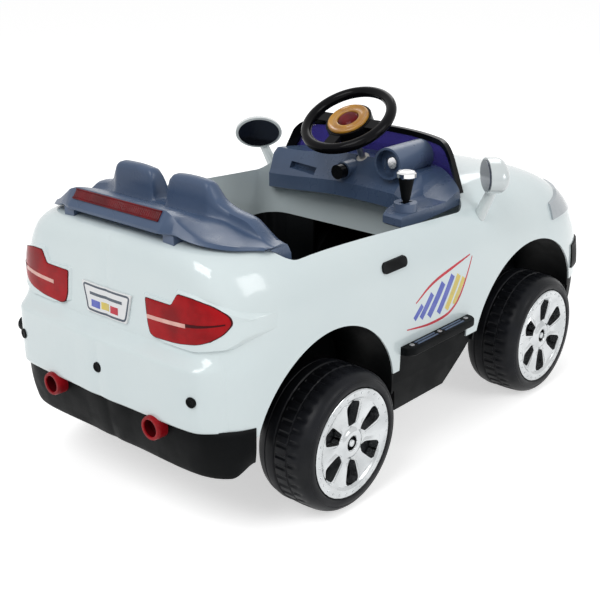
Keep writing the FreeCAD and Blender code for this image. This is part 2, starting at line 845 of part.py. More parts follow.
wing_wires = []
for station in wing_stations[:0:-1]:
    wing_wires.append(wing_section(-station[0], *station[1:]))
for station in wing_stations:
    wing_wires.append(wing_section(*station))
wing_form = Part.makeLoft(wing_wires, True, True)
seat_side = size(seat_half)
back_outline = [
    (size("cockpit_rear") + 33, back_low + 5), (size("seat_rear") + 2, size("seat_height") + gap),
    (size("seat_rear") - 18, size("seat_height") + gap), (size("cockpit_rear") + 14, back_low + 5),
]
whole_skin = near_skin.fuse(mirrored(near_skin))
body_round_cockpit = whole_skin.cut(plan_prism(gap, 0, far))
seat_back = wing_form.cut(body_round_cockpit).fuse(prism_y(back_outline, -seat_side, seat_side))
solid_piece("seat_spoiler", max(seat_back.removeSplitter().Solids, key=lambda item: item.Volume))

# Brake light strip on the slanted rear face of the wing.
face_rise = "(wing_thick - wing_lip)"
face_long = math.hypot(size("wing_face"), size(face_rise))
strip_start = size("brake_margin") / face_long
strip_end = 1 - strip_start
near, away = "clearance", "(clearance + brake_thick)"


def on_face(share, stand):
    x = f"wing_rear + {share} * wing_face - {face_rise} / {face_long} * {stand}"
    z = f"wing_low + wing_lip + {share} * {face_rise} + wing_face / {face_long} * {stand}"
    return x, z


brake = new_body("brake_light")
profile = new_sketch(brake, "XZ_Plane")
add_outline(profile, [
    on_face(strip_start, near), on_face(strip_end, near),
    on_face(strip_end, away), on_face(strip_start, away),
])
pad(brake, profile, "2 * brake_half_width", both_ways=True)

# Short legs between the rear deck and the wing.
leg_x = size("wing_rear") + 10
leg_y = size("leg_place - leg_wide / 2")
leg = slab(leg_x, leg_x + size("leg_long"), leg_y, leg_y + size("leg_wide"), 380, size("wing_low") - gap)
leg = leg.cut(near_skin)
pair_piece("spoiler_legs", leg)

# Windscreen: part of a leaning cone, framed in bar stock and standing on the body skin.
screen_axis = size("screen_front - screen_radius")
lean = size("screen_lean / (screen_top - screen_base)")
cone_low, cone_high = size("screen_base") - 60, size("screen_top") + 40


def screen_cone(offset):
    low_radius = size("screen_radius") + offset + lean * (size("screen_base") - cone_low)
    high_radius = size("screen_radius") + offset - lean * (cone_high - size("screen_base"))
    return Part.makeCone(low_radius, high_radius, cone_high - cone_low, Vector(screen_axis, 0, cone_low))


def screen_front(inset):
    base, top = size("screen_half_base") - inset, size("screen_half_top") - inset
    high_edge = size("screen_top") - inset
    outline = [(-base - 10, cone_low), (-base, size("screen_base") - 6), (-top, high_edge),
               (top, high_edge), (base, size("screen_base") - 6), (base + 10, cone_low)]
    shape = prism_x(outline, 40, far)
    upper_edges = [edge for edge in shape.Edges if edge.BoundBox.ZMin > high_edge - 1]
    corners = [edge for edge in upper_edges if edge.BoundBox.XLength > 1]
    return shape.makeFillet(size("screen_corner") - inset, corners)


half_frame, half_pane = size("screen_frame_thick") / 2, size("screen_pane_thick") / 2
bar = size("screen_bar")
frame_ring = screen_cone(half_frame).cut(screen_cone(-half_frame))
frame = frame_ring.common(screen_front(0).cut(screen_front(bar))).cut(whole_skin)
solid_piece("windscreen_frame", max(frame.Solids, key=lambda item: item.Volume))
pane = screen_cone(half_pane).cut(screen_cone(-half_pane)).common(screen_front(bar + gap)).cut(whole_skin)
solid_piece("windscreen_pane", max(pane.Solids, key=lambda item: item.Volume))

# Dashboard: an arched band with a sloping panel above it, a round pod for the key, a boss for the knob,
# a vent slot at the left and, at the right, a shelf that sweeps back to carry the lever.
# Each station gives the distance to the left, then how far the rear edge, the lower edge, the slope's lean
# and rise, the shelf and its height depart from the dashboard's sizes.
dash_half = size("dash_half_width")
console_edge = -size("console_inner")
shelf_drop = size("console_top - dash_top")
shelf_base = size("console_top - console_thick - dash_low")
shelf_rear = size("console_rear - dash_rear")
dash_stations = (
    (dash_half, 24, -20, 0, 2, 0, -6),
    (150, 16, -14, 2, 4, 0, -4),
    (70, 4, -4, 8, 8, 0, 4),
    (30, 0, 0, 10, 10, 0, 9),
    (-30, 0, 0, 10, 10, 0, 9),
    (-70, -2, 0, 10, 10, 0, 7),
    (-110, -8, 0, 8, 8, 0, 3),
    (-135, -24, 4, 4, 4, -6, -4),
    (console_edge + 8, -52, shelf_base - 4, 1, 0, -20, -18),
    (console_edge - 4, shelf_rear + 24, shelf_base, 0, -2, -38, shelf_drop + 2),
    (console_edge - 14, shelf_rear + 4, shelf_base, 0, -2, -42, shelf_drop),
    (-dash_half, shelf_rear, shelf_base, 0, -2, -42, shelf_drop),
)
cowl_start, cowl_base = size("dash_rear") + 90, size("dash_rear") + 80


def dash_section(y, rear_in, base_in, lean_in, rise_in, shelf_in, shelf_up):
    rear, base = size("dash_rear") + rear_in, size("dash_low") + base_in
    lean, rise = 4 + lean_in, 6 + rise_in
    shelf, shelf_top = size("dash_rear") + 42 + shelf_in, size("dash_top") + shelf_up
    band_top = min(base + size("dash_band"), size("console_top") - 4)
    outline = [
        (rear + 12, base), (rear, base + 6), (rear, band_top), (rear + lean, band_top + rise),
        (shelf, shelf_top), (cowl_start, size("dash_top")), (size("screen_front"), size("dash_top")),
        (size("screen_front"), base + 20), (cowl_base, base + 10),
    ]
    return closed_wire(y, outline)


dash = Part.makeLoft([dash_section(*station) for station in dash_stations], True, True)
key_spot = (size("key_place"), size("key_z"))
knob_spot = (size("knob_place"), size("knob_z"))
pod = x_rod(size("pod_radius"), *key_spot, size("pod_rear"), cowl_start)
pod_recess = x_rod(size("pod_radius - pod_wall"), *key_spot, 0, size("pod_face"))
boss = x_rod(size("knob_radius") + 3, *knob_spot, size("knob_boss_rear"), cowl_start)
vent_deep = size("dash_rear + vent_deep") + 30
vent = slab(0, vent_deep, size("vent_place - vent_half_width"), size("vent_place + vent_half_width"),
            size("vent_low"), size("vent_high"))
dash = dash.fuse([pod, boss]).cut([pod_recess, vent])
dash = dash.common(screen_cone(-half_frame - gap)).cut(body_round_cockpit)
dash_holes = [column_rod(size("bush_radius") + gap, 0, 250)]
fit = size("running_fit")
knob_hole_end = size("knob_boss_rear + shaft_depth") + 4
key_hole_end = size("pod_face + shaft_depth") + 4
dash_holes.append(x_rod(size("knob_shaft") + fit, *knob_spot, 0, knob_hole_end))
dash_holes.append(x_rod(size("key_shaft") + fit, *key_spot, 0, key_hole_end))
dash = dash.cut(dash_holes).removeSplitter()
solid_piece("dashboard", max(dash.Solids, key=lambda item: item.Volume))


# Turning knob and key: a grip outside the panel and a shaft in its hole.
def panel_turner(shaft, grip_radius, grip_long, panel, y, z):
    grip = rod(grip_radius, grip_long, f"{panel} - clearance - {grip_long}", y, z, along_x)
    stem = rod(shaft, f"{grip_long} + shaft_depth", f"{panel} - clearance - {grip_long}", y, z, along_x)
    return grip, stem


knob_grip, knob_stem = panel_turner("knob_shaft", "knob_radius", "knob_grip", "knob_boss_rear",
                                    "knob_place", "knob_z")
keep(joined(knob_grip, knob_stem), "dash_knob")
key_collar, key_stem = panel_turner("key_shaft", "knob_radius - 2", "key_collar", "pod_face",
                                    "key_place", "key_z")
key_blade = block("18", "4", "20", "pod_face - clearance - 22", "key_place - 2", "key_z - 10")
keep(joined(key_collar, key_stem, key_blade), "ignition_key")

# Gear lever: base ring on the console, tapered grip swinging on a cross pin, bright cap on a spigot.
base_low = "console_top + clearance"
pivot = f"({base_low} + lever_base_high / 2 + 1)"
base_ring = rod("lever_base_radius", "lever_base_high", "lever_x", "lever_place", base_low)
base_slot = block("2 * lever_shaft_radius + 12", "2 * lever_shaft_radius + 2", "lever_base_high + 2",
                  "lever_x - lever_shaft_radius - 6", "lever_place - lever_shaft_radius - 1",
                  f"{base_low} - 1")
pin_bore = rod("lever_pin_radius + running_fit", "24", "lever_x", "lever_place - 12", pivot, along_left)
keep(less(base_ring, base_slot, pin_bore), "lever_base")
grip_low = f"({pivot} + 10)"
lever_shaft = rod("lever_shaft_radius", "lever_high + lever_knob_high / 2 + 5", "lever_x", "lever_place",
                  f"{pivot} - 5")
lever_pin = rod("lever_pin_radius", "22", "lever_x", "lever_place - 11", pivot, along_left)
lever_grip = bind(document.addObject("Part::Cone", "Grip"), Radius1="lever_neck_radius",
                  Radius2="lever_grip_radius", Height="lever_high - 10")
place(lever_grip, "lever_x", "lever_place", grip_low)
keep(joined(lever_shaft, lever_pin, lever_grip), "gear_lever")
cap = new_body("lever_knob")
place(cap, "lever_x", "lever_place", f"{pivot} + lever_high + clearance")
profile = new_sketch(cap, "XZ_Plane")
spigot = "lever_shaft_radius + running_fit"
spigot_end = "lever_knob_high / 2 + clearance"
add_outline(profile, [
    (spigot, "0"), ("lever_knob_radius - 2", "0"), ("lever_knob_radius", "2"),
    ("lever_knob_radius", "lever_knob_high - 4"), ("lever_knob_radius - 3", "lever_knob_high - 1"),
    ("lever_knob_radius / 2", "lever_knob_high"), ("0", "lever_knob_high"), ("0", spigot_end),
    (spigot, spigot_end),
])
turned(cap, profile)

# Accelerator pedal on a pin between two lugs.
pedal_z = "floor_front + tub_wall + clearance + 9"
half_pedal = "pedal_wide / 2"
foot_plate = block("24", "pedal_wide + 20", "3", "pedal_hinge_x - 12", f"pedal_place - {half_pedal} - 10",
                   "floor_front + tub_wall + clearance")
lugs = []
for side in (1, -1):
    inner_edge = f"pedal_place + {side} * ({half_pedal} + 5.5) - 4"
    lugs.append(block("16", "8", "16", "pedal_hinge_x - 8", inner_edge, "floor_front + tub_wall + clearance"))
pin_start = f"pedal_place - {half_pedal} - 10"
pin = rod("pedal_pin_radius", "pedal_wide + 20", "pedal_hinge_x", pin_start, pedal_z, along_left)
keep(joined(foot_plate, *lugs, pin), "pedal_bracket")
pedal = new_body("accelerator_pedal")
place(pedal, "pedal_hinge_x", "pedal_place", pedal_z, Rotation(Vector(0, 1, 0), -size("pedal_angle")))
profile = new_sketch(pedal, "XZ_Plane")
add_circle(profile, ("0", "0"), "pedal_pin_radius + 3")
pad(pedal, profile, "pedal_wide", both_ways=True)
profile = new_sketch(pedal, "XZ_Plane")
pedal_under, pedal_over = "-pedal_pin_radius / 2", "pedal_thick - pedal_pin_radius / 2"
add_outline(profile, [
    ("0", pedal_under), ("pedal_long", pedal_under), ("pedal_long", pedal_over), ("0", pedal_over),
])
pad(pedal, profile, "pedal_wide", both_ways=True)
profile = new_sketch(pedal, "XZ_Plane")
add_circle(profile, ("0", "0"), "pedal_pin_radius + running_fit")
pocket(pedal, profile, "pedal_wide + 2", both_ways=True)

# Wheels: moulded tyre with a web, hub core and silver cover; depths are taken from the hub plane inwards.
rim_inner = "tyre_radius - tyre_wall"
disc_depth = "cover_depth + 1"


def wheel_outline(side):
    outline = [
        ("axle_radius + running_fit", disc_depth), ("cover_radius + clearance", disc_depth),
        ("cover_radius + clearance", "6"), ("cover_radius + 4", "2"), ("tyre_radius - 14", "1"),
        ("tyre_radius - 6", "7"), ("tyre_radius - 1.5", "18"), ("tyre_radius", "30"),
        ("tyre_radius", "tyre_width - 28"), ("tyre_radius - 2", "tyre_width - 16"),
        ("tyre_radius - 7", "tyre_width - 5"), ("tyre_radius - 12", "tyre_width"),
        ("tyre_radius - 16", "tyre_width"), (f"{rim_inner} - 4", "tyre_width - 12"),
        (rim_inner, "tyre_width - 26"), (rim_inner, "20"), (f"{rim_inner} - 7", "9"),
        ("cover_radius + 2 + tyre_wall / 2", "9"), ("cover_radius + tyre_wall / 2", "cover_depth + 7"),
        ("hub_core_radius", "cover_depth + 7"), ("hub_core_radius", "tyre_width - 5"),
        ("axle_radius + running_fit", "tyre_width - 5"),
    ]
    return [(radius, f"{side} * (hub_plane - ({depth}))") for radius, depth in outline]


def cover_outline(side):
    outline = [
        ("0", "1"), ("17", "1"), ("21", "4"), ("window_inner - 2", "cover_dish"),
        ("window_outer - 3", "cover_dish + 1"),
        ("window_outer + 5", "1.5"), ("cover_radius - 3", "1"), ("cover_radius", "3.5"),
        ("cover_radius", "cover_depth + 1 - clearance"), ("cover_radius - 3", "cover_depth + 1 - clearance"),
        ("cover_radius - 4", "9"), ("window_outer + 2", "cover_dish + 1 + cover_wall"),
        ("window_inner - 2", "cover_dish + cover_wall"), ("0", "cover_dish + cover_wall"),
    ]
    return [(radius, f"{side} * (hub_plane - ({depth}))") for radius, depth in outline]


wheel_spots = (
    ("rear_left", "-wheelbase / 2", 1), ("rear_right", "-wheelbase / 2", -1),
    ("front_left", "wheelbase / 2", 1), ("front_right", "wheelbase / 2", -1),
)
for spot, x, side in wheel_spots:
    tyre = new_body("tyre_" + spot)
    place(tyre, x, "0", "tyre_radius")
    profile = new_sketch(tyre, "XY_Plane")
    add_outline(profile, wheel_outline(side))
    turned(tyre, profile)
    cover = new_body("wheel_cover_" + spot)
    place(cover, x, "0", "tyre_radius")
    profile = new_sketch(cover, "XY_Plane")
    add_outline(profile, cover_outline(side))
    turned(cover, profile)
    window = new_sketch(cover, "XZ_Plane", f"{-side} * hub_plane")
    add_outline(window, [
        ("-window_root", "window_inner"), ("-window_tip", "window_outer - 9"),
        ("-window_tip + 8", "window_outer - 1"), ("window_tip - 8", "window_outer - 1"),
        ("window_tip", "window_outer - 9"), ("window_root", "window_inner"),
    ])
    opening = pocket(cover, window, "4 * cover_depth", both_ways=True)
    pattern = cover.newObject("PartDesign::PolarPattern", "Spokes")
    pattern.Originals = [opening]
    pattern.Axis = (window, ["N_Axis"])
    pattern.Angle = 360
    bind(pattern, Occurrences="spoke_count")
    cover.Tip = pattern

stub_end = "hub_plane - cover_depth + 5"
nut_start = "hub_plane - cover_depth - 1 + clearance"


def wheel_nut(x, side):
    turn = along_left if side > 0 else along_right
    hexagon = document.addObject("Part::Prism", "Hexagon")
    bind(hexagon, Circumradius="nut_radius", Height="nut_height")
    hexagon.Polygon = 6
    place(hexagon, x, f"{side} * ({nut_start})", "tyre_radius", turn)
    bore_start = f"{side} * ({nut_start} - 2)"
    bore = rod("axle_radius + running_fit", "nut_height + 4", x, bore_start, "tyre_radius", turn)
    return less(hexagon, bore)


# Rear axle in the two blocks under the floor.
axle = rod("axle_radius", f"2 * ({stub_end})", "-wheelbase / 2", f"-({stub_end})", "tyre_radius", along_left)
keep(axle, "rear_axle")
keep(joined(wheel_nut("-wheelbase / 2", 1), wheel_nut("-wheelbase / 2", -1)), "wheel_nuts_rear")

# Front axle beam: two flanges on a tall web under the floor; knuckles swing on kingpins between the flanges.
beam_front = "wheelbase / 2 + beam_reach"
flange_long = "2 * beam_reach"
beam_half = "kingpin_place + 12"
lower = "tyre_radius - boss_half - clearance - beam_flange"
upper = "tyre_radius + boss_half + clearance"
flanges = []
for level in (lower, upper):
    flanges.append(block(flange_long, f"2 * ({beam_half})", "beam_flange", "wheelbase / 2 - beam_reach",
                         f"-({beam_half})", level))
web = block("beam_flange", "2 * front_well - 20", f"floor_front - clearance - ({lower})", beam_front,
            "10 - front_well", lower)
seats = []
for side in (1, -1):
    seats.append(rod("kingpin_radius", "80", "wheelbase / 2", f"{side} * kingpin_place", "tyre_radius - 40"))
keep(less(joined(web, *flanges), *seats), "axle_beam")
kingpins = []
for side in (1, -1):
    y = f"{side} * kingpin_place"
    shank = rod("kingpin_radius", "2 * (boss_half + clearance + beam_flange)", "wheelbase / 2", y, lower)
    head = rod("kingpin_radius + 4", "4", "wheelbase / 2", y, f"{upper} + beam_flange")
    kingpins.append(joined(shank, head))
keep(joined(*kingpins), "kingpins")
arm_top = "arm_low + arm_thick"
for side, label in ((1, "left"), (-1, "right")):
    turn = along_left if side > 0 else along_right
    y = f"{side} * kingpin_place"
    boss = rod("boss_radius", "2 * boss_half", "wheelbase / 2", y, "tyre_radius - boss_half")
    stub = rod("axle_radius", f"{stub_end} - kingpin_place", "wheelbase / 2", y, "tyre_radius", turn)
    collar_long = "hub_plane - tyre_width + 5 - clearance - kingpin_place"
    collar = rod("axle_radius + 4", collar_long, "wheelbase / 2", y, "tyre_radius", turn)
    arm = block("arm_long + 7", "14", "arm_thick", "wheelbase / 2 - arm_long - 7", f"{y} - 7", "arm_low")
    arm_pin = rod("arm_pin_radius", "arm_thick + rod_thick + 4", "wheelbase / 2 - arm_long", y, "arm_low")
    bore = rod("kingpin_radius + running_fit", "2 * boss_half + 4", "wheelbase / 2", y,
               "tyre_radius - boss_half - 2")
    keep(less(joined(boss, stub, collar, arm, arm_pin), bore), "knuckle_" + label)
    keep(wheel_nut("wheelbase / 2", side), "wheel_nut_front_" + label)

# Tie rod with a slotted middle plate for the crank pin.
tie = new_body("tie_rod")
rod_line = "wheelbase / 2 - arm_long"
half_rod = "rod_wide / 2"
rod_end = "kingpin_place + 8"
plate_front = f"{rod_line} + slot_long + 8"
outline = [
    (f"{rod_line} - {half_rod}", f"-({rod_end})"), (f"{rod_line} + {half_rod}", f"-({rod_end})"),
    (f"{rod_line} + {half_rod}", "-18"), (plate_front, "-12"), (plate_front, "12"),
    (f"{rod_line} + {half_rod}", "18"), (f"{rod_line} + {half_rod}", rod_end),
    (f"{rod_line} - {half_rod}", rod_end),
]
profile = new_sketch(tie, "XY_Plane", f"{arm_top} + clearance")
add_outline(profile, outline)
pad(tie, profile, "rod_thick")
profile = new_sketch(tie, "XY_Plane", f"{arm_top} + clearance - 1")
slot_half = "(arm_pin_radius + slot_play)"
add_outline(profile, [
    (f"{rod_line} + 1", f"-{slot_half}"), (f"{rod_line} + 1 + slot_long", f"-{slot_half}"),
    (f"{rod_line} + 1 + slot_long", slot_half), (f"{rod_line} + 1", slot_half),
])
for side in (1, -1):
    add_circle(profile, (rod_line, f"{side} * kingpin_place"), "arm_pin_radius + running_fit")
pocket(tie, profile, "rod_thick + 2", backwards=True)

# Steering wheel, ring and horn button share the tilted column axis.
column_turn = Rotation(Vector(0, 1, 0), -size("column_tilt"))


def on_column(piece):
    return place(piece, "wheel_centre_x", "0", "wheel_centre_z", column_turn)


wheel = on_column(new_body("steering_wheel"))
profile = new_sketch(wheel, "XZ_Plane")
add_circle(profile, ("grip_radius", "0"), "grip_tube")
turned(wheel, profile)
profile = new_sketch(wheel, "XY_Plane", "-spoke_thick - 1")
add_outline(profile, [
    ("-spoke_wide / 2", "grip_radius"), ("-spoke_wide / 2", "-grip_radius"),
    ("spoke_wide / 2", "-grip_radius"), ("spoke_wide / 2", "grip_radius"),
])
pad(wheel, profile, "spoke_thick")
profile = new_sketch(wheel, "XY_Plane", "-spoke_thick - 1")
add_outline(profile, [("-grip_radius", "-spoke_wide / 2"), ("0", "-spoke_wide / 2"), ("0", "spoke_wide / 2"),
                      ("-grip_radius", "spoke_wide / 2")])
pad(wheel, profile, "spoke_thick")
profile = new_sketch(wheel, "XY_Plane", "-grip_hub_thick")
add_circle(profile, ("0", "0"), "grip_hub_radius")
pad(wheel, profile, "grip_hub_thick")
profile = new_sketch(wheel, "XY_Plane")
add_circle(profile, ("0", "0"), "horn_radius + clearance")
pocket(wheel, profile, "horn_travel + 4")
profile = new_sketch(wheel, "XY_Plane", "-grip_hub_thick")
add_circle(profile, ("0", "0"), "column_radius + running_fit")
pocket(wheel, profile, "grip_hub_thick - horn_travel - 6", backwards=True)

ring = on_column(new_body("horn_ring"))
profile = new_sketch(ring, "XZ_Plane")
add_outline(profile, [
    ("horn_radius + 1", "clearance"), ("horn_ring_radius", "clearance"), ("horn_ring_radius", "2"),
    ("horn_ring_radius - 2", "4"), ("horn_radius + 2", "4"), ("horn_radius + 1", "3"),
])
turned(ring, profile)
button = on_column(new_body("horn_button"))
profile = new_sketch(button, "XZ_Plane")
add_outline(profile, [
    ("0", "-4 + clearance"), ("horn_radius", "-4 + clearance"), ("horn_radius", "horn_stand - 3"),
    ("horn_radius - 3", "horn_stand - 0.6"), ("horn_radius / 2", "horn_stand"), ("0", "horn_stand"),
])
turned(button, profile)

# Steering column: rod from the hub to a crank whose pin rides in the slot of the tie rod.
crank_end = floor_cross + bush_half + 1
rod_middle = size(f"{arm_top} + clearance + rod_thick / 2")
reach = size("crank_reach")
pin_end = (column_start.z - reach * math.sin(tilt) - rod_middle) / math.cos(tilt) + size("crank_foot")
column_top = size("horn_travel") + 8
shaft = Part.makeCylinder(size("column_radius"), crank_end + 4 - column_top, Vector(0, 0, -crank_end - 4))
crank_thick = size("crank_thick")
crank = Part.makeBox(reach + 17, 18, crank_thick, Vector(-reach - 7, -9, -crank_end - crank_thick))
crank_pin = Part.makeCylinder(size("arm_pin_radius"), pin_end - crank_end, Vector(-reach, 0, -pin_end))
column = solid_piece("steering_column", shaft.fuse([crank, crank_pin]).removeSplitter())
on_column(column)


# Gears: involute teeth, outline in the side plane, cut through along Y.
def gear_shape(teeth, module, spot, first_angle, start, end):
    pitch = teeth * module / 2
    pressure = math.radians(20)
    base_radius = pitch * math.cos(pressure)
    tip, root = pitch + 0.95 * module, pitch - 1.25 * module
    half_tooth = math.pi / (2 * teeth) - size("backlash") / (4 * pitch) + math.tan(pressure) - pressure
    flank = []
    flank_steps = 5
    lowest = max(base_radius, root)
    for index in range(flank_steps + 1):
        radius = lowest + (tip - lowest) * index / flank_steps
        roll = math.acos(min(1, base_radius / radius))
        flank.append((radius, half_tooth - (math.tan(roll) - roll)))
    if root < base_radius:
        flank.insert(0, (root, flank[0][1]))
    points = []
    for tooth in range(int(teeth)):
        centre = first_angle + 2 * math.pi * tooth / teeth
        rising = [(radius, centre - angle) for radius, angle in flank]
        falling = [(radius, centre + angle) for radius, angle in flank[::-1]]
        points += rising + falling
    return prism_y([around(spot, radius, angle) for radius, angle in points], start, end)


case_out = size("case_back + case_deep")
drive_out = -case_out + 2
drive_in = drive_out + size("drive_wide")
fine_out = drive_in + 4
fine_in = fine_out + size("fine_wide")
sleeve_end = -size("hub_plane - tyre_width + 5 - clearance / 3")
drive_gear = gear_shape(size("drive_teeth"), size("drive_module"), axle_spot, train, drive_out, drive_in)
drive_gear = drive_gear.fuse(y_rod(size("sleeve_radius"), *axle_spot, sleeve_end, drive_in))
axle_way = y_rod(size("axle_radius") + fit, *axle_spot, -far, far)
solid_piece("drive_gear", drive_gear.cut(axle_way).removeSplitter())
idler_start = train + math.pi + math.pi / size("idler_teeth")
idler = gear_shape(size("idler_teeth"), size("drive_module"), idler_spot, idler_start, drive_out, fine_in)
large_gear = gear_shape(size("large_teeth"), size("fine_module"), idler_spot, motor_turn, fine_out, fine_in)
idler_way = y_rod(size("idler_shaft") + fit, *idler_spot, -far, far)
solid_piece("idler_gear", idler.fuse(large_gear).cut(idler_way).removeSplitter())
pinion_start = motor_turn + math.pi + math.pi / size("pinion_teeth")
pinion = gear_shape(size("pinion_teeth"), size("fine_module"), motor_spot, pinion_start, fine_out, fine_in)
shaft_radius = size("motor_shaft")
shaft_seat = -size("case_back") + 12
motor_shaft = y_rod(shaft_radius, *motor_spot, fine_out, shaft_seat)
solid_piece("motor_pinion", pinion.fuse(motor_shaft).removeSplitter())
cavity_end = -size("case_back") - size("case_wall")

case_wall = size("case_wall")
case_box = slab(size("case_rear"), size("case_front"), -case_out, -size("case_back"),
                size("case_low"), size("case_high"))
hollow = slab(size("case_rear") + case_wall, size("case_front") - case_wall, -case_out, cavity_end,
              size("case_low") + case_wall, size("case_high") - case_wall)
shaft_way = y_rod(shaft_radius + gap, *motor_spot, -far, far)
idler_post = y_rod(size("idler_shaft"), *idler_spot, -case_out, cavity_end)
solid_piece("gearbox_case", case_box.cut([hollow, axle_way, shaft_way]).fuse(idler_post).removeSplitter())
cover_plate = slab(size("case_rear"), size("case_front"), -case_out - case_wall, -case_out,
                   size("case_low"), size("case_high"))
solid_piece("gearbox_cover", cover_plate.cut(y_rod(size("sleeve_radius") + gap, *axle_spot, -far, far)))
motor_face = -size("case_back") + gap
motor = y_rod(size("motor_radius"), *motor_spot, motor_face, motor_face + size("motor_long"))
motor_neck = y_rod(size("motor_radius") * 0.4, *motor_spot, motor_face, motor_face + size("motor_long") + 5)
shaft_bore = y_rod(shaft_radius + fit, *motor_spot, -far, shaft_seat + 1)
solid_piece("drive_motor", motor.fuse(motor_neck).cut(shaft_bore).removeSplitter())

# Battery on the floor under the seat.
shelf = "floor_high + tub_wall + clearance"
battery_x = "-wheelbase / 2 - 50"
battery_y = "-battery_wide / 2 + 20"
keep(block("battery_long", "battery_wide", "battery_high", battery_x, battery_y, shelf), "battery")


# Mirrors: yawed half-egg housings on stalks that stand on the body skin.
def oval_plate(scale, start, end):
    tip = Vector(start, size("mirror_half_width") * scale, 0)
    waist = Vector(start, 0, size("mirror_half_height") * scale)
    rim_wire = Part.Wire(Part.Ellipse(tip, waist, Vector(start, 0, 0)).toShape())
    return Part.Face(rim_wire).extrude(Vector(end - start, 0, 0))


housings = []
glasses = []
for side in (1, -1):
    centre = Vector(size("mirror_x"), side * size("mirror_place"), size("mirror_z"))
    face_plane = -size("mirror_depth") / 3
    housing = oval_plate(1, face_plane, face_plane + size("mirror_depth"))
    front_edges = [edge for edge in housing.Edges if edge.BoundBox.XMin > face_plane + 1]
    housing = housing.makeFillet(size("mirror_round"), front_edges)
    glass = oval_plate(0.88, face_plane - gap - size("glass_thick"), face_plane - gap)
    yaw = Placement(centre, Rotation(Vector(0, 0, 1), side * size("mirror_yaw")))
    for shape in (housing, glass):
        shape.Placement = yaw
    foot = Vector(size("mirror_x") + 18, side * (size("mirror_place") - 34), size("mirror_z") - 84)
    head = centre + Vector(8, 0, -size("mirror_half_height") * 0.6)
    stalk = Part.makeCone(11, 8, (head - foot).Length, foot, head - foot).cut(whole_skin)
    stalk = max(stalk.Solids, key=lambda item: item.Volume)
    housings.append(housing.fuse(stalk).removeSplitter())
    glasses.append(glass)
solid_piece("mirrors", Part.makeCompound(housings))
solid_piece("mirror_glasses", Part.makeCompound(glasses))


def finish_parts():
    document.recompute()
    faults = []
    for item in document.Objects:
        if "Invalid" in item.State or "Error" in item.State:
            faults.append(item.Label)
    for piece in pieces:
        if piece.Shape.isNull() or not piece.Shape.isValid():
            faults.append(piece.Label)
    if faults:
        raise RuntimeError("faulty pieces: " + ", ".join(faults))
    os.makedirs("parts", exist_ok=True)
    for piece in pieces:
        piece.Shape.exportStep(f"parts/{piece.Label}.step")


finish_parts()
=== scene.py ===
import math

import bmesh
import bpy
from mathutils import Matrix, Vector
from mathutils.bvhtree import BVHTree


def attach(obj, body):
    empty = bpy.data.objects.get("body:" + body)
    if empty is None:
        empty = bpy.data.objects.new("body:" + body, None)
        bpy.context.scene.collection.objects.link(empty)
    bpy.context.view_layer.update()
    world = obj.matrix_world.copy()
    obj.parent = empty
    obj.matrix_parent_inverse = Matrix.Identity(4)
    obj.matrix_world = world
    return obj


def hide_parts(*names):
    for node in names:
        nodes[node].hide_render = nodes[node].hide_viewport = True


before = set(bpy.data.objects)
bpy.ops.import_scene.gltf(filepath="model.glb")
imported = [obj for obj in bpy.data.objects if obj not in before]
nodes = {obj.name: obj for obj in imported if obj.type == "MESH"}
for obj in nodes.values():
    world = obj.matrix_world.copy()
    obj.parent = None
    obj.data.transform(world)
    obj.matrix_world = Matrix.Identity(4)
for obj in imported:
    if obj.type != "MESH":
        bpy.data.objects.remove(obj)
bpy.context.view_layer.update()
scene = bpy.context.scene
scene.view_settings.view_transform = "Standard"
print("frame loaded:", len(nodes), "nodes")


# camera, from the photograph's viewing angle
cameraSet = {
    "place": (-1.4546, -1.1969, 0.9024),
    "back": (-0.7049, -0.6164, 0.3510),
    "right": (0.6583, -0.7528, 0),
    "lens": 66,
}


def setCamera():
    back = Vector(cameraSet["back"]).normalized()
    right = Vector(cameraSet["right"]).normalized()
    turn = Matrix((right, back.cross(right), back)).transposed().to_4x4()
    lensData = bpy.data.cameras.new("photoCamera")
    lensData.lens = cameraSet["lens"]
    camera = bpy.data.objects.new("photoCamera", lensData)
    camera.matrix_world = Matrix.Translation(cameraSet["place"]) @ turn
    scene.collection.objects.link(camera)
    scene.camera = camera


setCamera()
print("camera set")


# studio: pale floor, white surround, soft lamps
studioSet = {
    "floorHalf": 60,
    "floorTint": (0.86, 0.86, 0.86, 1),
    "floorLift": 0.55,  # glow, seen directly, mirrored or through the pane
    "surround": 0.5,
    "lamps": (
        # name, place, size, watts
        ("keyLamp", (-2.4, -0.4, 2.8), 1.6, 42),
        ("sideLamp", (0.4, -3.2, 2.1), 1.6, 30),
        ("frontLamp", (2.6, 1.6, 2.6), 2, 24),
    ),
    "lampTarget": (0, 0, 0.2),
}


def seenDirectly(tree):
    path = tree.nodes.new("ShaderNodeLightPath")
    seen = path.outputs["Is Camera Ray"]
    for ray in ("Is Glossy Ray", "Is Transmission Ray"):
        either = tree.nodes.new("ShaderNodeMath")
        either.operation = "MAXIMUM"
        tree.links.new(seen, either.inputs[0])
        tree.links.new(path.outputs[ray], either.inputs[1])
        seen = either.outputs[0]
    return seen


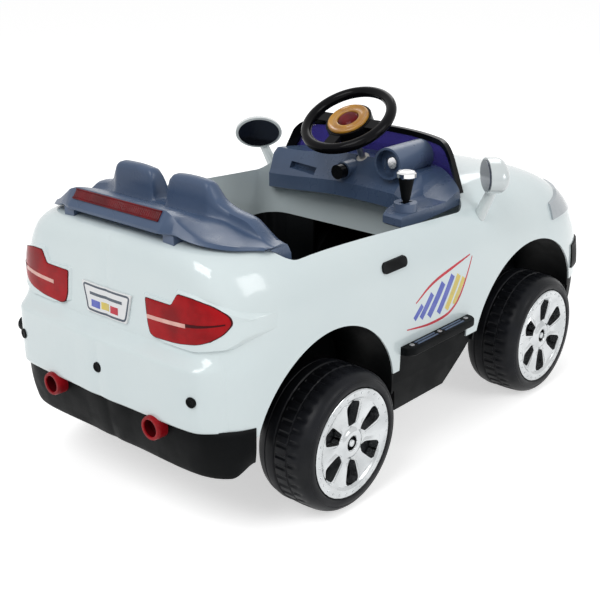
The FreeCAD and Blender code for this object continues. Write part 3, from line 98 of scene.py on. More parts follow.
def setStudio():
    world = bpy.data.worlds.new("studioWorld")
    scene.world = world
    world.use_nodes = True
    tree = world.node_tree
    link = tree.links.new
    light = tree.nodes["Background"]
    light.inputs["Color"].default_value = (1, 1, 1, 1)
    light.inputs["Strength"].default_value = studioSet["surround"]
    white = tree.nodes.new("ShaderNodeBackground")
    white.inputs["Color"].default_value = (1, 1, 1, 1)
    mix = tree.nodes.new("ShaderNodeMixShader")
    link(seenDirectly(tree), mix.inputs[0])
    link(light.outputs[0], mix.inputs[1])
    link(white.outputs[0], mix.inputs[2])
    link(mix.outputs[0], tree.nodes["World Output"].inputs["Surface"])
    half = studioSet["floorHalf"]
    corners = [(-half, -half, 0), (half, -half, 0), (half, half, 0), (-half, half, 0)]
    mesh = bpy.data.meshes.new("studioFloor")
    mesh.from_pydata(corners, [], [(0, 1, 2, 3)])
    floor = bpy.data.objects.new("studioFloor", mesh)
    scene.collection.objects.link(floor)
    paint = bpy.data.materials.new("floorPaint")
    paint.use_nodes = True
    tree = paint.node_tree
    link = tree.links.new
    tree.nodes.clear()
    matt = tree.nodes.new("ShaderNodeBsdfDiffuse")
    matt.inputs["Color"].default_value = studioSet["floorTint"]
    lift = tree.nodes.new("ShaderNodeEmission")
    gain = tree.nodes.new("ShaderNodeMath")
    gain.operation = "MULTIPLY"
    gain.inputs[1].default_value = studioSet["floorLift"]
    link(seenDirectly(tree), gain.inputs[0])
    link(gain.outputs[0], lift.inputs["Strength"])
    both = tree.nodes.new("ShaderNodeAddShader")
    link(matt.outputs[0], both.inputs[0])
    link(lift.outputs[0], both.inputs[1])
    output = tree.nodes.new("ShaderNodeOutputMaterial")
    link(both.outputs[0], output.inputs["Surface"])
    mesh.materials.append(paint)
    for name, place, width, watts in studioSet["lamps"]:
        lampData = bpy.data.lights.new(name, "AREA")
        lampData.size = width
        lampData.energy = watts
        lamp = bpy.data.objects.new(name, lampData)
        lamp.location = place
        aim = Vector(studioSet["lampTarget"]) - Vector(place)
        lamp.rotation_euler = aim.to_track_quat("-Z", "Y").to_euler()
        scene.collection.objects.link(lamp)


setStudio()
print("studio lit")


# finishes: every look is a dictionary, and makeFinish turns it into nodes
usualLook = {
    "metal": 0, "shine": 0.5, "coat": 0, "clear": 0, "ior": 1.47, "patch": 9, "depth": 0.0002,
    "stretch": None,
}
finishSet = {
    "coatRough": 0.05, "smear": 26, "patchRange": (0.35, 0.65), "wearRange": (0.53, 0.62),
    "dustHeights": (0.02, 0.26), "dustGrain": 34, "dustRange": (0.38, 0.7),
}


def makeFinish(name, given):
    look = {**usualLook, **given}
    paint = bpy.data.materials.new(name)
    paint.use_nodes = True
    tree = paint.node_tree
    link = tree.links.new
    shader = tree.nodes["Principled BSDF"]
    for socket, value in (
        ("Metallic", look["metal"]), ("Specular IOR Level", look["shine"]), ("Coat Weight", look["coat"]),
        ("Coat Roughness", finishSet["coatRough"]), ("Transmission Weight", look["clear"]),
        ("IOR", look["ior"]),
    ):
        shader.inputs[socket].default_value = value
    place = tree.nodes.new("ShaderNodeTexCoord")

    def speckle(scale, detail, stretch=None):
        cloud = tree.nodes.new("ShaderNodeTexNoise")
        cloud.inputs["Scale"].default_value = scale
        cloud.inputs["Detail"].default_value = detail
        source = place.outputs["Object"]
        if stretch:
            shift = tree.nodes.new("ShaderNodeMapping")
            shift.inputs["Scale"].default_value = stretch
            link(source, shift.inputs["Vector"])
            source = shift.outputs["Vector"]
        link(source, cloud.inputs["Vector"])
        return cloud.outputs["Fac"]

    def spread(source, low, high, span=finishSet["patchRange"]):
        ramp = tree.nodes.new("ShaderNodeMapRange")
        ramp.interpolation_type = "SMOOTHSTEP"
        for socket, value in zip(("From Min", "From Max", "To Min", "To Max"), (*span, low, high)):
            ramp.inputs[socket].default_value = value
        link(source, ramp.inputs["Value"])
        return ramp.outputs["Result"]

    def blendTints(amount, first, second):
        mix = tree.nodes.new("ShaderNodeMix")
        mix.data_type = "RGBA"
        link(amount, mix.inputs["Factor"])
        for socket, tint in ((mix.inputs[6], first), (mix.inputs[7], second)):  # its two colour sockets
            if isinstance(tint, tuple):
                socket.default_value = (*tint, 1)
            else:
                link(tint, socket)
        return mix.outputs[2]

    tint = blendTints(spread(speckle(look["patch"], 3), 0, 1), look["tint"], look["shade"])
    if "wear" in look:  # paler, rubbed edges
        edge = tree.nodes.new("ShaderNodeNewGeometry")
        rubbed = spread(edge.outputs["Pointiness"], 0, look["wearShare"], finishSet["wearRange"])
        tint = blendTints(rubbed, tint, look["wear"])
    if "dust" in look:  # faint dust that gathers low on the car
        height = tree.nodes.new("ShaderNodeSeparateXYZ")
        link(place.outputs["Object"], height.inputs[0])
        low = spread(height.outputs["Z"], look["dustShare"], 0, finishSet["dustHeights"])
        specks = spread(speckle(finishSet["dustGrain"], 6), 0, 1, finishSet["dustRange"])
        scatter = tree.nodes.new("ShaderNodeMath")
        scatter.operation = "MULTIPLY"
        link(low, scatter.inputs[0])
        link(specks, scatter.inputs[1])
        tint = blendTints(scatter.outputs[0], tint, look["dust"])
    link(tint, shader.inputs["Base Color"])
    link(spread(speckle(finishSet["smear"], 4), *look["rough"]), shader.inputs["Roughness"])
    bump = tree.nodes.new("ShaderNodeBump")
    bump.inputs["Strength"].default_value = look["bump"]
    bump.inputs["Distance"].default_value = look["depth"]
    link(speckle(look["grain"], 2, look["stretch"]), bump.inputs["Height"])
    link(bump.outputs["Normal"], shader.inputs["Normal"])
    return paint


inkBase = {"rough": (0.28, 0.4), "patch": 60, "grain": 900, "depth": 0.0001, "bump": 0.15}
looks = {
    "bodyWhite": {
        "tint": (0.68, 0.765, 0.775), "shade": (0.655, 0.745, 0.76), "rough": (0.12, 0.2), "coat": 0.4,
        "grain": 90, "depth": 0.0004, "bump": 0.06, "patch": 5, "dust": (0.54, 0.56, 0.54),
        "dustShare": 0.16,
    },
    "slatePlastic": {
        "tint": (0.05, 0.082, 0.15), "shade": (0.06, 0.096, 0.172), "rough": (0.26, 0.36), "patch": 14,
        "shine": 0.4, "grain": 900, "depth": 0.00025, "bump": 0.35, "wear": (0.13, 0.17, 0.25),
        "wearShare": 0.4,
    },
    "blackPlastic": {
        "tint": (0.0028, 0.0034, 0.0038), "shade": (0.0046, 0.0053, 0.0058), "rough": (0.38, 0.52),
        "patch": 12, "shine": 0.05, "grain": 800, "depth": 0.0003, "bump": 0.4,
        "wear": (0.035, 0.036, 0.038), "wearShare": 0.3, "dust": (0.02, 0.02, 0.02), "dustShare": 0.12,
    },
    "tyrePlastic": {
        "tint": (0.007, 0.0078, 0.0095), "shade": (0.011, 0.012, 0.015), "rough": (0.32, 0.46), "patch": 16,
        "shine": 0.14, "grain": 520, "depth": 0.0003, "bump": 0.4, "wear": (0.035, 0.036, 0.042),
        "wearShare": 0.5, "dust": (0.05, 0.05, 0.05), "dustShare": 0.2,
    },
    "glossBlack": {
        "tint": (0.0026, 0.0026, 0.0034), "shade": (0.0042, 0.0042, 0.0054), "rough": (0.1, 0.17),
        "coat": 0.03, "shine": 0.08, "grain": 300, "bump": 0.12,
    },
    "redLens": {
        "tint": (0.4, 0.004, 0.008), "shade": (0.24, 0.002, 0.005), "rough": (0.1, 0.16), "coat": 0.04,
        "shine": 0.12, "patch": 20, "grain": 160, "depth": 0.0006, "bump": 0.25, "stretch": (1, 0.25, 4),
    },
    "darkRed": {
        "tint": (0.085, 0.0025, 0.005), "shade": (0.055, 0.002, 0.004), "rough": (0.16, 0.26), "coat": 0.04,
        "shine": 0.1, "grain": 240, "depth": 0.0004, "bump": 0.2,
    },
    "redPlastic": {
        "tint": (0.31, 0.005, 0.01), "shade": (0.22, 0.004, 0.008), "rough": (0.24, 0.36), "patch": 30,
        "shine": 0.15, "grain": 700, "depth": 0.0003, "bump": 0.25, "wear": (0.42, 0.05, 0.05),
        "wearShare": 0.3,
    },
    "silverCover": {
        "tint": (0.6, 0.62, 0.63), "shade": (0.5, 0.52, 0.53), "rough": (0.12, 0.22), "metal": 0.95,
        "patch": 22, "grain": 420, "bump": 0.15,
    },
    "chromeBright": {
        "tint": (0.8, 0.8, 0.81), "shade": (0.74, 0.74, 0.75), "rough": (0.06, 0.12), "metal": 1,
        "grain": 260, "bump": 0.08,
    },
    "steelBare": {
        "tint": (0.48, 0.48, 0.49), "shade": (0.38, 0.38, 0.39), "rough": (0.28, 0.42), "metal": 1,
        "patch": 40, "grain": 600, "bump": 0.3, "stretch": (1, 8, 1),
    },
    "violetPane": {
        "tint": (0.05, 0.04, 0.24), "shade": (0.044, 0.036, 0.21), "rough": (0.05, 0.09), "clear": 0.55,
        "ior": 1.2, "shine": 0.1, "grain": 60, "depth": 0.0003, "bump": 0.05,
    },
    "clearLamp": {
        "tint": (0.36, 0.4, 0.43), "shade": (0.31, 0.35, 0.38), "rough": (0.06, 0.12), "coat": 0.6,
        "patch": 16, "grain": 130, "depth": 0.001, "bump": 0.45, "stretch": (0.2, 4, 0.2),
    },
    "amberRing": {
        "tint": (0.52, 0.25, 0.018), "shade": (0.4, 0.17, 0.012), "rough": (0.14, 0.24), "coat": 0.3,
        "patch": 40, "grain": 500, "bump": 0.2, "wear": (0.66, 0.44, 0.12), "wearShare": 0.5,
    },
    "mirrorSilver": {
        "tint": (0.055, 0.062, 0.085), "shade": (0.045, 0.052, 0.075), "rough": (0.04, 0.09), "metal": 0.9,
        "grain": 120, "depth": 0.0001, "bump": 0.04,
    },
    "pearlSilver": {
        "tint": (0.62, 0.67, 0.67), "shade": (0.57, 0.62, 0.63), "rough": (0.16, 0.26), "coat": 0.5,
        "metal": 0.15, "patch": 18, "grain": 300, "depth": 0.0003, "bump": 0.1,
    },
    "plateWhite": {
        "tint": (0.82, 0.82, 0.82), "shade": (0.78, 0.79, 0.8), "rough": (0.22, 0.34), "patch": 40,
        "grain": 600, "depth": 0.0001, "bump": 0.15,
    },
    "whiteNylon": {
        "tint": (0.66, 0.65, 0.61), "shade": (0.6, 0.59, 0.55), "rough": (0.38, 0.5), "patch": 40,
        "grain": 900, "bump": 0.25,
    },
    "brassMetal": {
        "tint": (0.62, 0.44, 0.16), "shade": (0.52, 0.36, 0.12), "rough": (0.24, 0.36), "metal": 1,
        "grain": 500, "bump": 0.2,
    },
    "motorCan": {
        "tint": (0.4, 0.41, 0.42), "shade": (0.34, 0.35, 0.36), "rough": (0.3, 0.42), "metal": 0.9,
        "grain": 500, "bump": 0.2, "stretch": (1, 6, 1),
    },
    "stripePale": {
        "tint": (0.78, 0.44, 0.38), "shade": (0.7, 0.36, 0.31), "rough": (0.16, 0.26), "coat": 0.2,
        "patch": 60, "grain": 300, "bump": 0.15,
    },
    "brakeRed": {
        "tint": (0.15, 0.004, 0.008), "shade": (0.1, 0.003, 0.006), "rough": (0.14, 0.24), "coat": 0.04,
        "shine": 0.1, "patch": 30, "grain": 240, "depth": 0.0003, "bump": 0.2,
    },
    "darkInk": {
        **inkBase, "tint": (0.055, 0.075, 0.105), "shade": (0.075, 0.095, 0.125), "rough": (0.3, 0.42),
    },
    "redInk": {**inkBase, "tint": (0.56, 0.012, 0.035), "shade": (0.48, 0.01, 0.03)},
    "blueInk": {**inkBase, "tint": (0.075, 0.11, 0.46), "shade": (0.11, 0.14, 0.5)},
    "yellowInk": {**inkBase, "tint": (0.72, 0.56, 0.11), "shade": (0.64, 0.52, 0.15)},
}
finishes = {name: makeFinish(name, look) for name, look in looks.items()}

wheelSpots = ("rear_left", "rear_right", "front_left", "front_right")
nodesOf = {
    "bodyWhite": ("body_shell",),
    "blackPlastic": (
        "floor_tub", "rear_valance", "front_valance", "side_steps", "seat_pan", "corner_inserts",
        "front_grille", "door_handles", "bumper_caps", "charge_socket", "gear_lever", "pedal_bracket",
        "accelerator_pedal", "gearbox_case", "gearbox_cover",
    ),
    "steelBare": (
        "step_screws", "steering_column", "tie_rod", "knuckle_left", "knuckle_right", "kingpins",
        "axle_beam", "wheel_nut_front_left", "wheel_nut_front_right", "wheel_nuts_rear", "rear_axle",
    ),
    "slatePlastic": ("seat_spoiler", "spoiler_legs", "dashboard", "lever_base", "battery"),
    "darkRed": ("brake_light",),
    "redLens": ("tail_lamps",),
    "clearLamp": ("headlamps",),
    "plateWhite": ("number_plate",),
    "redPlastic": ("exhaust_tips",),
    "glossBlack": ("windscreen_frame", "dash_knob", "steering_wheel"),
    "violetPane": ("windscreen_pane",),
    "chromeBright": ("ignition_key", "lever_knob"),
    "whiteNylon": ("column_bushes", "drive_gear", "idler_gear"),
    "amberRing": ("horn_ring",),
    "brakeRed": ("horn_button",),
    "brassMetal": ("motor_pinion",),
    "motorCan": ("drive_motor",),
    "pearlSilver": ("mirrors",),
    "mirrorSilver": ("mirror_glasses",),
    "tyrePlastic": ["tyre_" + spot for spot in wheelSpots],
    "silverCover": ["wheel_cover_" + spot for spot in wheelSpots],
}
for finishName, nodeNames in nodesOf.items():
    for nodeName in nodeNames:
        for holder in nodes[nodeName].material_slots:
            holder.material = finishes[finishName]
print("finishes on the frame")


# making pieces: made holds the points, the faces and each face's paint
mm = 0.001
mergeGap = 0.00001
sides = (("left", 1), ("right", -1))


def addPiece(name, made, paints, body, replaced, crease):
    points, faces, paintOf = made
    mesh = bpy.data.meshes.new(name)
    mesh.from_pydata([tuple(point) for point in points], [], faces)
    for paint in paints:
        mesh.materials.append(finishes[paint])
    for polygon, index in zip(mesh.polygons, paintOf):
        polygon.material_index = index
    form = bmesh.new()
    form.from_mesh(mesh)
    bmesh.ops.remove_doubles(form, verts=form.verts, dist=mergeGap)
    bmesh.ops.recalc_face_normals(form, faces=form.faces)
    form.to_mesh(mesh)
    form.free()
    mesh.shade_smooth()
    mesh.set_sharp_from_angle(angle=math.radians(crease))
    piece = bpy.data.objects.new(name, mesh)
    scene.collection.objects.link(piece)
    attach(piece, body)
    if replaced:
        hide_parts(*replaced)


def gridFaces(rows, columns, wrapRows=False, wrapColumns=False):
    faces = []
    for row in range(rows if wrapRows else rows - 1):
        for column in range(columns if wrapColumns else columns - 1):
            nextRow, nextColumn = (row + 1) % rows, (column + 1) % columns
            corners = ((row, column), (row, nextColumn), (nextRow, nextColumn), (nextRow, column))
            faces.append(tuple(r * columns + c for r, c in corners))
    return faces


def barFaces(rows, columns):
    ends = [tuple(row * columns + index for index in range(columns)) for row in (0, rows - 1)]
    return gridFaces(rows, columns, False, True) + ends


def turned(profile, steps, place, closed=False):
    points = []
    for radius, height in profile:
        for step in range(steps):
            turn = 2 * math.pi * step / steps
            points.append(place(radius * math.cos(turn), radius * math.sin(turn), height))
    return points, gridFaces(len(profile), steps, closed, True)


def joinOn(made, grid, tones=(0,)):  # each tone paints an equal share of the grid's faces
    points, faces, paintOf = made
    start = len(points)
    points += grid[0]
    faces += [tuple(start + corner for corner in face) for face in grid[1]]
    paintOf += [tone for tone in tones for face in range(len(grid[1]) // len(tones))]


def ease(value, start, end):
    share = min(max((value - start) / (end - start), 0), 1)
    return share * share * (3 - 2 * share)


# tyres: hollow moulded treads, blocks cut across the middle band
wheelSet = {"axleX": 285, "axleZ": 114, "hubPlane": 284}
tyreForm = {
    "steps": 240, "blocks": 40, "notch": 2.2, "notchShare": 0.2,
    "stagger": 38,  # depth from which the blocks stand half a block on
    # depth from the hub plane, radius, share of the cross notches
    "profile": (
        (22, 88.3, 0), (7, 88.3, 0), (3.2, 89.2, 0), (1.6, 91, 0), (1.1, 94, 0), (1.6, 98, 0),
        (3, 100.6, 0), (2.6, 101.4, 0), (3.4, 103.2, 0), (6, 106.2, 0), (10, 109.2, 0), (15, 111.4, 0),
        (20, 112.6, 0.2), (24, 113.2, 0.9), (30, 113.6, 1), (36, 113.8, 1), (37, 112.2, 0.4),
        (39, 112, 0), (40, 113.8, 0.4), (41, 114, 1), (50, 114, 1), (59, 114, 1), (60, 113.8, 0.4),
        (61, 111.6, 0), (64, 111.4, 0), (65.5, 113.6, 0), (67, 114, 0), (76, 114, 0), (79, 113.4, 0),
        (80, 111.6, 0), (82, 111.2, 0), (83, 112.4, 0), (90, 110.8, 0), (96, 108, 0), (100, 104.8, 0),
        (103, 101, 0), (103, 98, 0), (91, 104, 0), (77, 107, 0), (20, 107, 0), (9, 101, 0), (9, 92.5, 0),
        (28, 91, 0), (28, 19, 0), (98, 19, 0), (98, 6.06, 0), (22, 6.06, 0),
    ),
}


def wheelPoint(spot, along, up, depth):
    x = (-1 if "rear" in spot else 1) * wheelSet["axleX"] + along
    y = (1 if "left" in spot else -1) * (wheelSet["hubPlane"] - depth)
    return Vector((x, y, wheelSet["axleZ"] + up)) * mm


def makeTyre(spot):
    form, steps = tyreForm, tyreForm["steps"]
    points = []
    for step in range(steps):
        turn = 2 * math.pi * step / steps
        for depth, radius, share in form["profile"]:
            phase = (step * form["blocks"] / steps + (0.5 if depth > form["stagger"] else 0)) % 1
            reach = radius - (form["notch"] * share if phase < form["notchShare"] else 0)
            points.append(wheelPoint(spot, reach * math.cos(turn), reach * math.sin(turn), depth))
    faces = gridFaces(steps, len(form["profile"]), True, True)
    addPiece("tyre_tread_" + spot, (points, faces, []), ["tyrePlastic"], "wheel_" + spot,
             ["tyre_" + spot], 28)


for spot in wheelSpots:
    makeTyre(spot)
print("tyres made")


# wheel covers: deep dish, six broad spokes round open windows, studs on the rim
coverForm = {
    "spokes": 6, "windowInner": 29, "windowOuter": 71, "windowRoot": 8, "windowTip": 17, "windowCorner": 7,
    "leastHalf": 1.5, "windowEdge": 0.6, "edgeColumns": (5, 9), "edgeDepth": 20,
    "ridge": 2.6, "ridgeSpan": (0.64, 0.8), "groove": 1.2, "grooveSpan": (0.84, 1),
    "across": (-1, -0.86, -0.74, -0.66, -0.6, -0.6, -0.4, 0, 0.4, 0.6, 0.6, 0.66, 0.74, 0.86, 1),
    # radius, depth of the face from the hub plane
    "face": (
        (11.5, 5.5), (13, 3.5), (17, 2.6), (20, 3.2), (23, 5.4), (26, 7.4), (29, 8.2), (33, 8.4), (38, 8.2),
        (44, 7.8), (50, 7.4), (56, 7), (62, 6.6), (66, 6.2), (69, 5.6), (71, 5), (73, 3.6), (75, 2),
        (77, 1.2), (80, 1), (84, 1), (86, 1.3), (87.4, 2.4), (88, 4), (88, 21.7), (85, 21.7),
        (84.5, 12),
    ),
    # centre bolt in its recess, the recess wall and floor painted black as painted shade: radius, depth
    "bolt": ((11.5, 5.5), (11.3, 7), (11.2, 11), (6.4, 11.2), (6.2, 6.2), (5.2, 4.4), (3, 3.4), (0.3, 3.1)),
    "boltSteps": 48, "boltShadeTones": (0, 1, 1, 0, 0, 0, 0),
    "studs": 30, "studRadius": 81.5, "studSteps": 10,
    "stud": ((1.9, 1.1), (1.7, 0.3), (1.1, -0.2), (0.05, -0.4)),
}


def windowHalf(radius):
    form = coverForm
    share = (radius - form["windowInner"]) / (form["windowOuter"] - form["windowInner"])
    share = min(max(share, 0), 1)
    straight = form["windowRoot"] + (form["windowTip"] - form["windowRoot"]) * share
    rounding = (1 - abs(2 * share - 1) ** form["windowCorner"]) ** 0.5
    return max(straight * rounding, form["leastHalf"])


def makeCover(spot):
    form, made = coverForm, ([], [], [])
    across, face, edge = form["across"], form["face"], form["windowEdge"]
    inner, outer = form["windowInner"], form["windowOuter"]
    firstColumn, lastColumn = form["edgeColumns"]
    sector, columns = math.pi / form["spokes"], len(across)
    for spoke in range(form["spokes"]):
        points, faces = [], []
        for radius, depth in face:
            half = windowHalf(radius) / radius
            for index, place in enumerate(across):
                if abs(place) <= edge:
                    turn = place / edge * half
                else:
                    turn = half + (abs(place) - edge) / (1 - edge) * (sector - half)
                    turn = turn if place > 0 else -turn
                sunk = depth
                if inner < radius < outer:
                    sunk -= form["ridge"] * (1 - ease(abs(place), *form["ridgeSpan"]))  # round each window
                    sunk += form["groove"] * ease(abs(place), *form["grooveSpan"])  # along the spoke
                if inner <= radius <= outer and index in form["edgeColumns"]:
                    sunk = form["edgeDepth"]
                turn += 2 * sector * spoke + math.pi / 2
                points.append(wheelPoint(spot, radius * math.cos(turn), radius * math.sin(turn), sunk))
        for row in range(len(face) - 1):
            middle = (face[row][0] + face[row + 1][0]) / 2
            for column in range(columns - 1):
                if inner < middle < outer and firstColumn <= column < lastColumn:
                    continue
                corner = row * columns + column
                faces.append((corner, corner + 1, corner + columns + 1, corner + columns))
        joinOn(made, (points, faces))

    def ringAt(x, z, profile, steps):
        return turned(profile, steps, lambda along, up, depth: wheelPoint(spot, x + along, z + up, depth))

    # the recess wall and floor take the black paint: painted shade in the recess
    joinOn(made, ringAt(0, 0, form["bolt"], form["boltSteps"]), form["boltShadeTones"])
    for stud in range(form["studs"]):
        turn = 2 * math.pi * (stud + 0.5) / form["studs"]
        studX, studZ = form["studRadius"] * math.cos(turn), form["studRadius"] * math.sin(turn)
        joinOn(made, ringAt(studX, studZ, form["stud"], form["studSteps"]))
    addPiece("wheel_trim_" + spot, made, ["silverCover", "blackPlastic"], "wheel_" + spot,
             ["wheel_cover_" + spot], 30)


for spot in wheelSpots:
    makeCover(spot)
print("wheel covers made")


# seat-back moulding: tilted wing, two headrests and the shoulders that run down to the belt
spoilerForm = {
    "halfWidth": 214, "acrossSteps": 214, "wingSteps": 14, "frontSteps": 10, "foot": 318, "frontFoot": 42,
    "frontLean": 0.073, "frontDrop": 18, "lipShare": 0.19, "faceDeep": (3, 15), "wingBend": 0.25,
    "lines": ("rearLine", "lipLow", "topRear", "base", "crest", "crestLine", "faceShare"),
    # distance from the centre line, then the value there
    "rearLine": (
        (0, -496), (96, -496), (104, -494), (112, -491), (122, -488), (136, -484), (155, -477), (172, -466),
        (192, -444), (214, -404),
    ),
    "topRear": (
        (0, 487), (96, 487), (104, 485), (112, 482), (122, 475), (136, 466), (155, 456), (172, 451),
        (192, 445), (214, 438),
    ),
    "lipLow": ((0, 456.2), (122, 456.2), (136, 452), (155, 448), (172, 444), (192, 439), (214, 434)),
    "base": ((0, 464), (100, 464), (112, 462), (125, 460), (150, 454), (172, 448), (195, 441), (214, 436)),
    "crest": (
        (0, 466), (9, 466), (13, 470), (16, 490), (20, 505), (28, 511), (60, 513), (90, 512), (98, 509),
        (104, 500), (111, 488), (122, 479), (136, 473), (150, 470), (164, 466), (178, 456), (192, 445),
        (204, 439), (214, 437),
    ),
    "crestLine": ((0, -400), (95, -400), (115, -394), (136, -389), (214, -384)),
    "faceShare": ((0, 1), (96, 1), (112, 0.6), (130, 0.35), (172, 0.15), (214, 0.1)),
    # distance from the rear line, height above the lip's lower edge
    "lipRound": ((6, 0), (2, 0.6), (0.4, 2)),
    # distance from the crest line, share of the headrest's height
    "humpBack": ((-3.5, 0.12), (-2, 0.45), (-1, 0.8)),
    # fluted backrest between the wheel wells: along the car, height, share of the flutes
    "panel": (
        (-379, 322, 0), (-362, 322, 0), (-357, 312, 1), (-347, 276, 1), (-338, 244, 1), (-337, 239, 0),
        (-356, 239, 0), (-362, 262, 0),
    ),
    "panelHalf": 138, "panelSteps": 46, "flute": 1.6, "fluteRows": 6,
}


def lineAt(line, value):
    spots = [spot for spot, level in line]
    levels = [level for spot, level in line]
    index = 0
    while index < len(line) - 2 and value > spots[index + 1]:
        index += 1
    slopes = [(levels[k + 1] - levels[k]) / (spots[k + 1] - spots[k]) for k in range(len(line) - 1)]

    def tangent(k):
        if k == 0 or k == len(line) - 1 or slopes[k - 1] * slopes[k] <= 0:
            return 0
        return 2 * slopes[k - 1] * slopes[k] / (slopes[k - 1] + slopes[k])

    span = spots[index + 1] - spots[index]
    t = min(max((value - spots[index]) / span, 0), 1)
    rise = levels[index] * (1 + 2 * t) * (1 - t) ** 2 + levels[index + 1] * t * t * (3 - 2 * t)
    return rise + span * (tangent(index) * t * (1 - t) ** 2 - tangent(index + 1) * t * t * (1 - t))


def makeSpoiler():
    form, made = spoilerForm, ([], [], [])
    acrossSteps, foot, frontDrop = form["acrossSteps"], form["foot"], form["frontDrop"]
    points = []
    for row in range(acrossSteps + 1):
        y = form["halfWidth"] * (2 * row / acrossSteps - 1)
        rear, low, top, base, crest, crestX, share = (lineAt(form[key], abs(y)) for key in form["lines"])
        loop = [(rear + x, low + z) for x, z in form["lipRound"]]
        loop.append((rear, low + (top - low) * form["lipShare"]))
        faceEnd = rear + form["faceDeep"][0] + form["faceDeep"][1] * share
        loop += [(faceEnd - 2 * share, top - 2.8 * share), (faceEnd, top - 0.4)]
        wingStart, wingEnd = faceEnd + 2, crestX - 6
        for step in range(1, form["wingSteps"] + 1):
            part = step / form["wingSteps"]
            bent = part * (1 - form["wingBend"]) + form["wingBend"] * part * part
            loop.append((wingStart + (wingEnd - wingStart) * part, top + (base - top) * bent))
        tall = crest - base
        loop += [(crestX + x, base + tall * part) for x, part in form["humpBack"]]
        loop += [(crestX + 1, crest - min(3, tall * 0.1)), (crestX + 5, crest), (crestX + 14, crest + 0.5)]
        front = crestX + form["frontFoot"] - form["frontLean"] * (crest - foot)
        loop += [(front - 7, crest - 3), (front - 3, crest - 9)]
        for step in range(form["frontSteps"] + 1):  # seat side, one leaning plane down to the backrest
            z = crest - frontDrop + (foot - crest + frontDrop) * step / form["frontSteps"]
            loop.append((crestX + form["frontFoot"] - form["frontLean"] * (z - foot), z))
        loop += [(crestX + 26, foot), (crestX + 22, min(crest - 34, 414))]
        loop += [(crestX + 8, low - 10), (crestX - 8, low - 1), (rear + 22, low)]
        points += [Vector((x, y, z)) * mm for x, z in loop]
    joinOn(made, (points, barFaces(acrossSteps + 1, len(loop))))
    panel, panelSteps = [], form["panelSteps"]
    for row in range(panelSteps + 1):
        y = form["panelHalf"] * (2 * row / panelSteps - 1)
        flute = form["flute"] * math.cos(2 * math.pi * row / form["fluteRows"])
        panel += [Vector((x + flute * fluted, y, z)) * mm for x, z, fluted in form["panel"]]
    joinOn(made, (panel, barFaces(panelSteps + 1, len(form["panel"]))))
    addPiece("seat_back_wing", made, ["slatePlastic"], "chassis", ["seat_spoiler"], 40)


makeSpoiler()
print("seat back made")


# trim laid on the skin: a ray finds the place, lift is how far it stands off
trimSet = {"roundShare": 0.48, "roundSteps": 6, "skirt": 0.2, "sink": -0.3}
farOut = 700  # where the rays start, clear of the car


def skinTree(name):
    mesh = nodes[name].data
    points = [corner.co.copy() for corner in mesh.vertices]
    return BVHTree.FromPolygons(points, [tuple(face.vertices) for face in mesh.polygons])


def castOn(tree, start, way):
    spot, normal = tree.ray_cast(Vector(start) * mm, Vector(way))[:2]
    if spot and normal.dot(Vector(way)) > 0:
        normal = -normal
    return spot, normal


def layOn(tree, start, way, lift):
    spot, normal = castOn(tree, start, way)
    return spot + normal * lift * mm


def straightRun(start, end, steps):
    return [Vector(start).lerp(Vector(end), step / steps) for step in range(steps + 1)]


def roundedPath(corners, closed, spacing):
    path = []
    count, share, steps = len(corners), trimSet["roundShare"], trimSet["roundSteps"]
    for index, (across, up, radius) in enumerate(corners):
        spot = Vector((across, up))
        if not closed and index in (0, count - 1):
            path.append(spot)
            continue
        before, after = Vector(corners[index - 1][:2]), Vector(corners[(index + 1) % count][:2])
        start, end = (spot + (other - spot).normalized() * min(radius, share * (other - spot).length)
                      for other in (before, after))
        for step in range(steps + 1):
            t = step / steps
            path.append(start * (1 - t) ** 2 + spot * 2 * t * (1 - t) + end * t * t)
    filled = []
    for index, spot in enumerate(path if closed else path[:-1]):
        following = path[(index + 1) % len(path)]
        pieces = max(1, math.ceil((following - spot).length / spacing))
        filled += [spot.lerp(following, part / pieces) for part in range(pieces)]
    return filled if closed else filled + path[-1:]


def tapeGrid(path, half, lift, place, closed=False):
    points = []
    last, sink = len(path) - 1, trimSet["sink"]
    for index, spot in enumerate(path):
        before = path[index - 1] if closed or index else spot
        after = path[(index + 1) % len(path)] if closed or index < last else spot
        along = (after - before).normalized()
        across = Vector((-along.y, along.x))
        width = half(index / last) if callable(half) else half
        skirt = width + trimSet["skirt"]
        section = ((-skirt, sink), (-width, lift), (0, lift), (width, lift), (skirt, sink))
        points += [place(*(spot + across * offset), height) for offset, height in section]
    return points, gridFaces(len(path), len(section), closed)


shellTree = skinTree("body_shell")
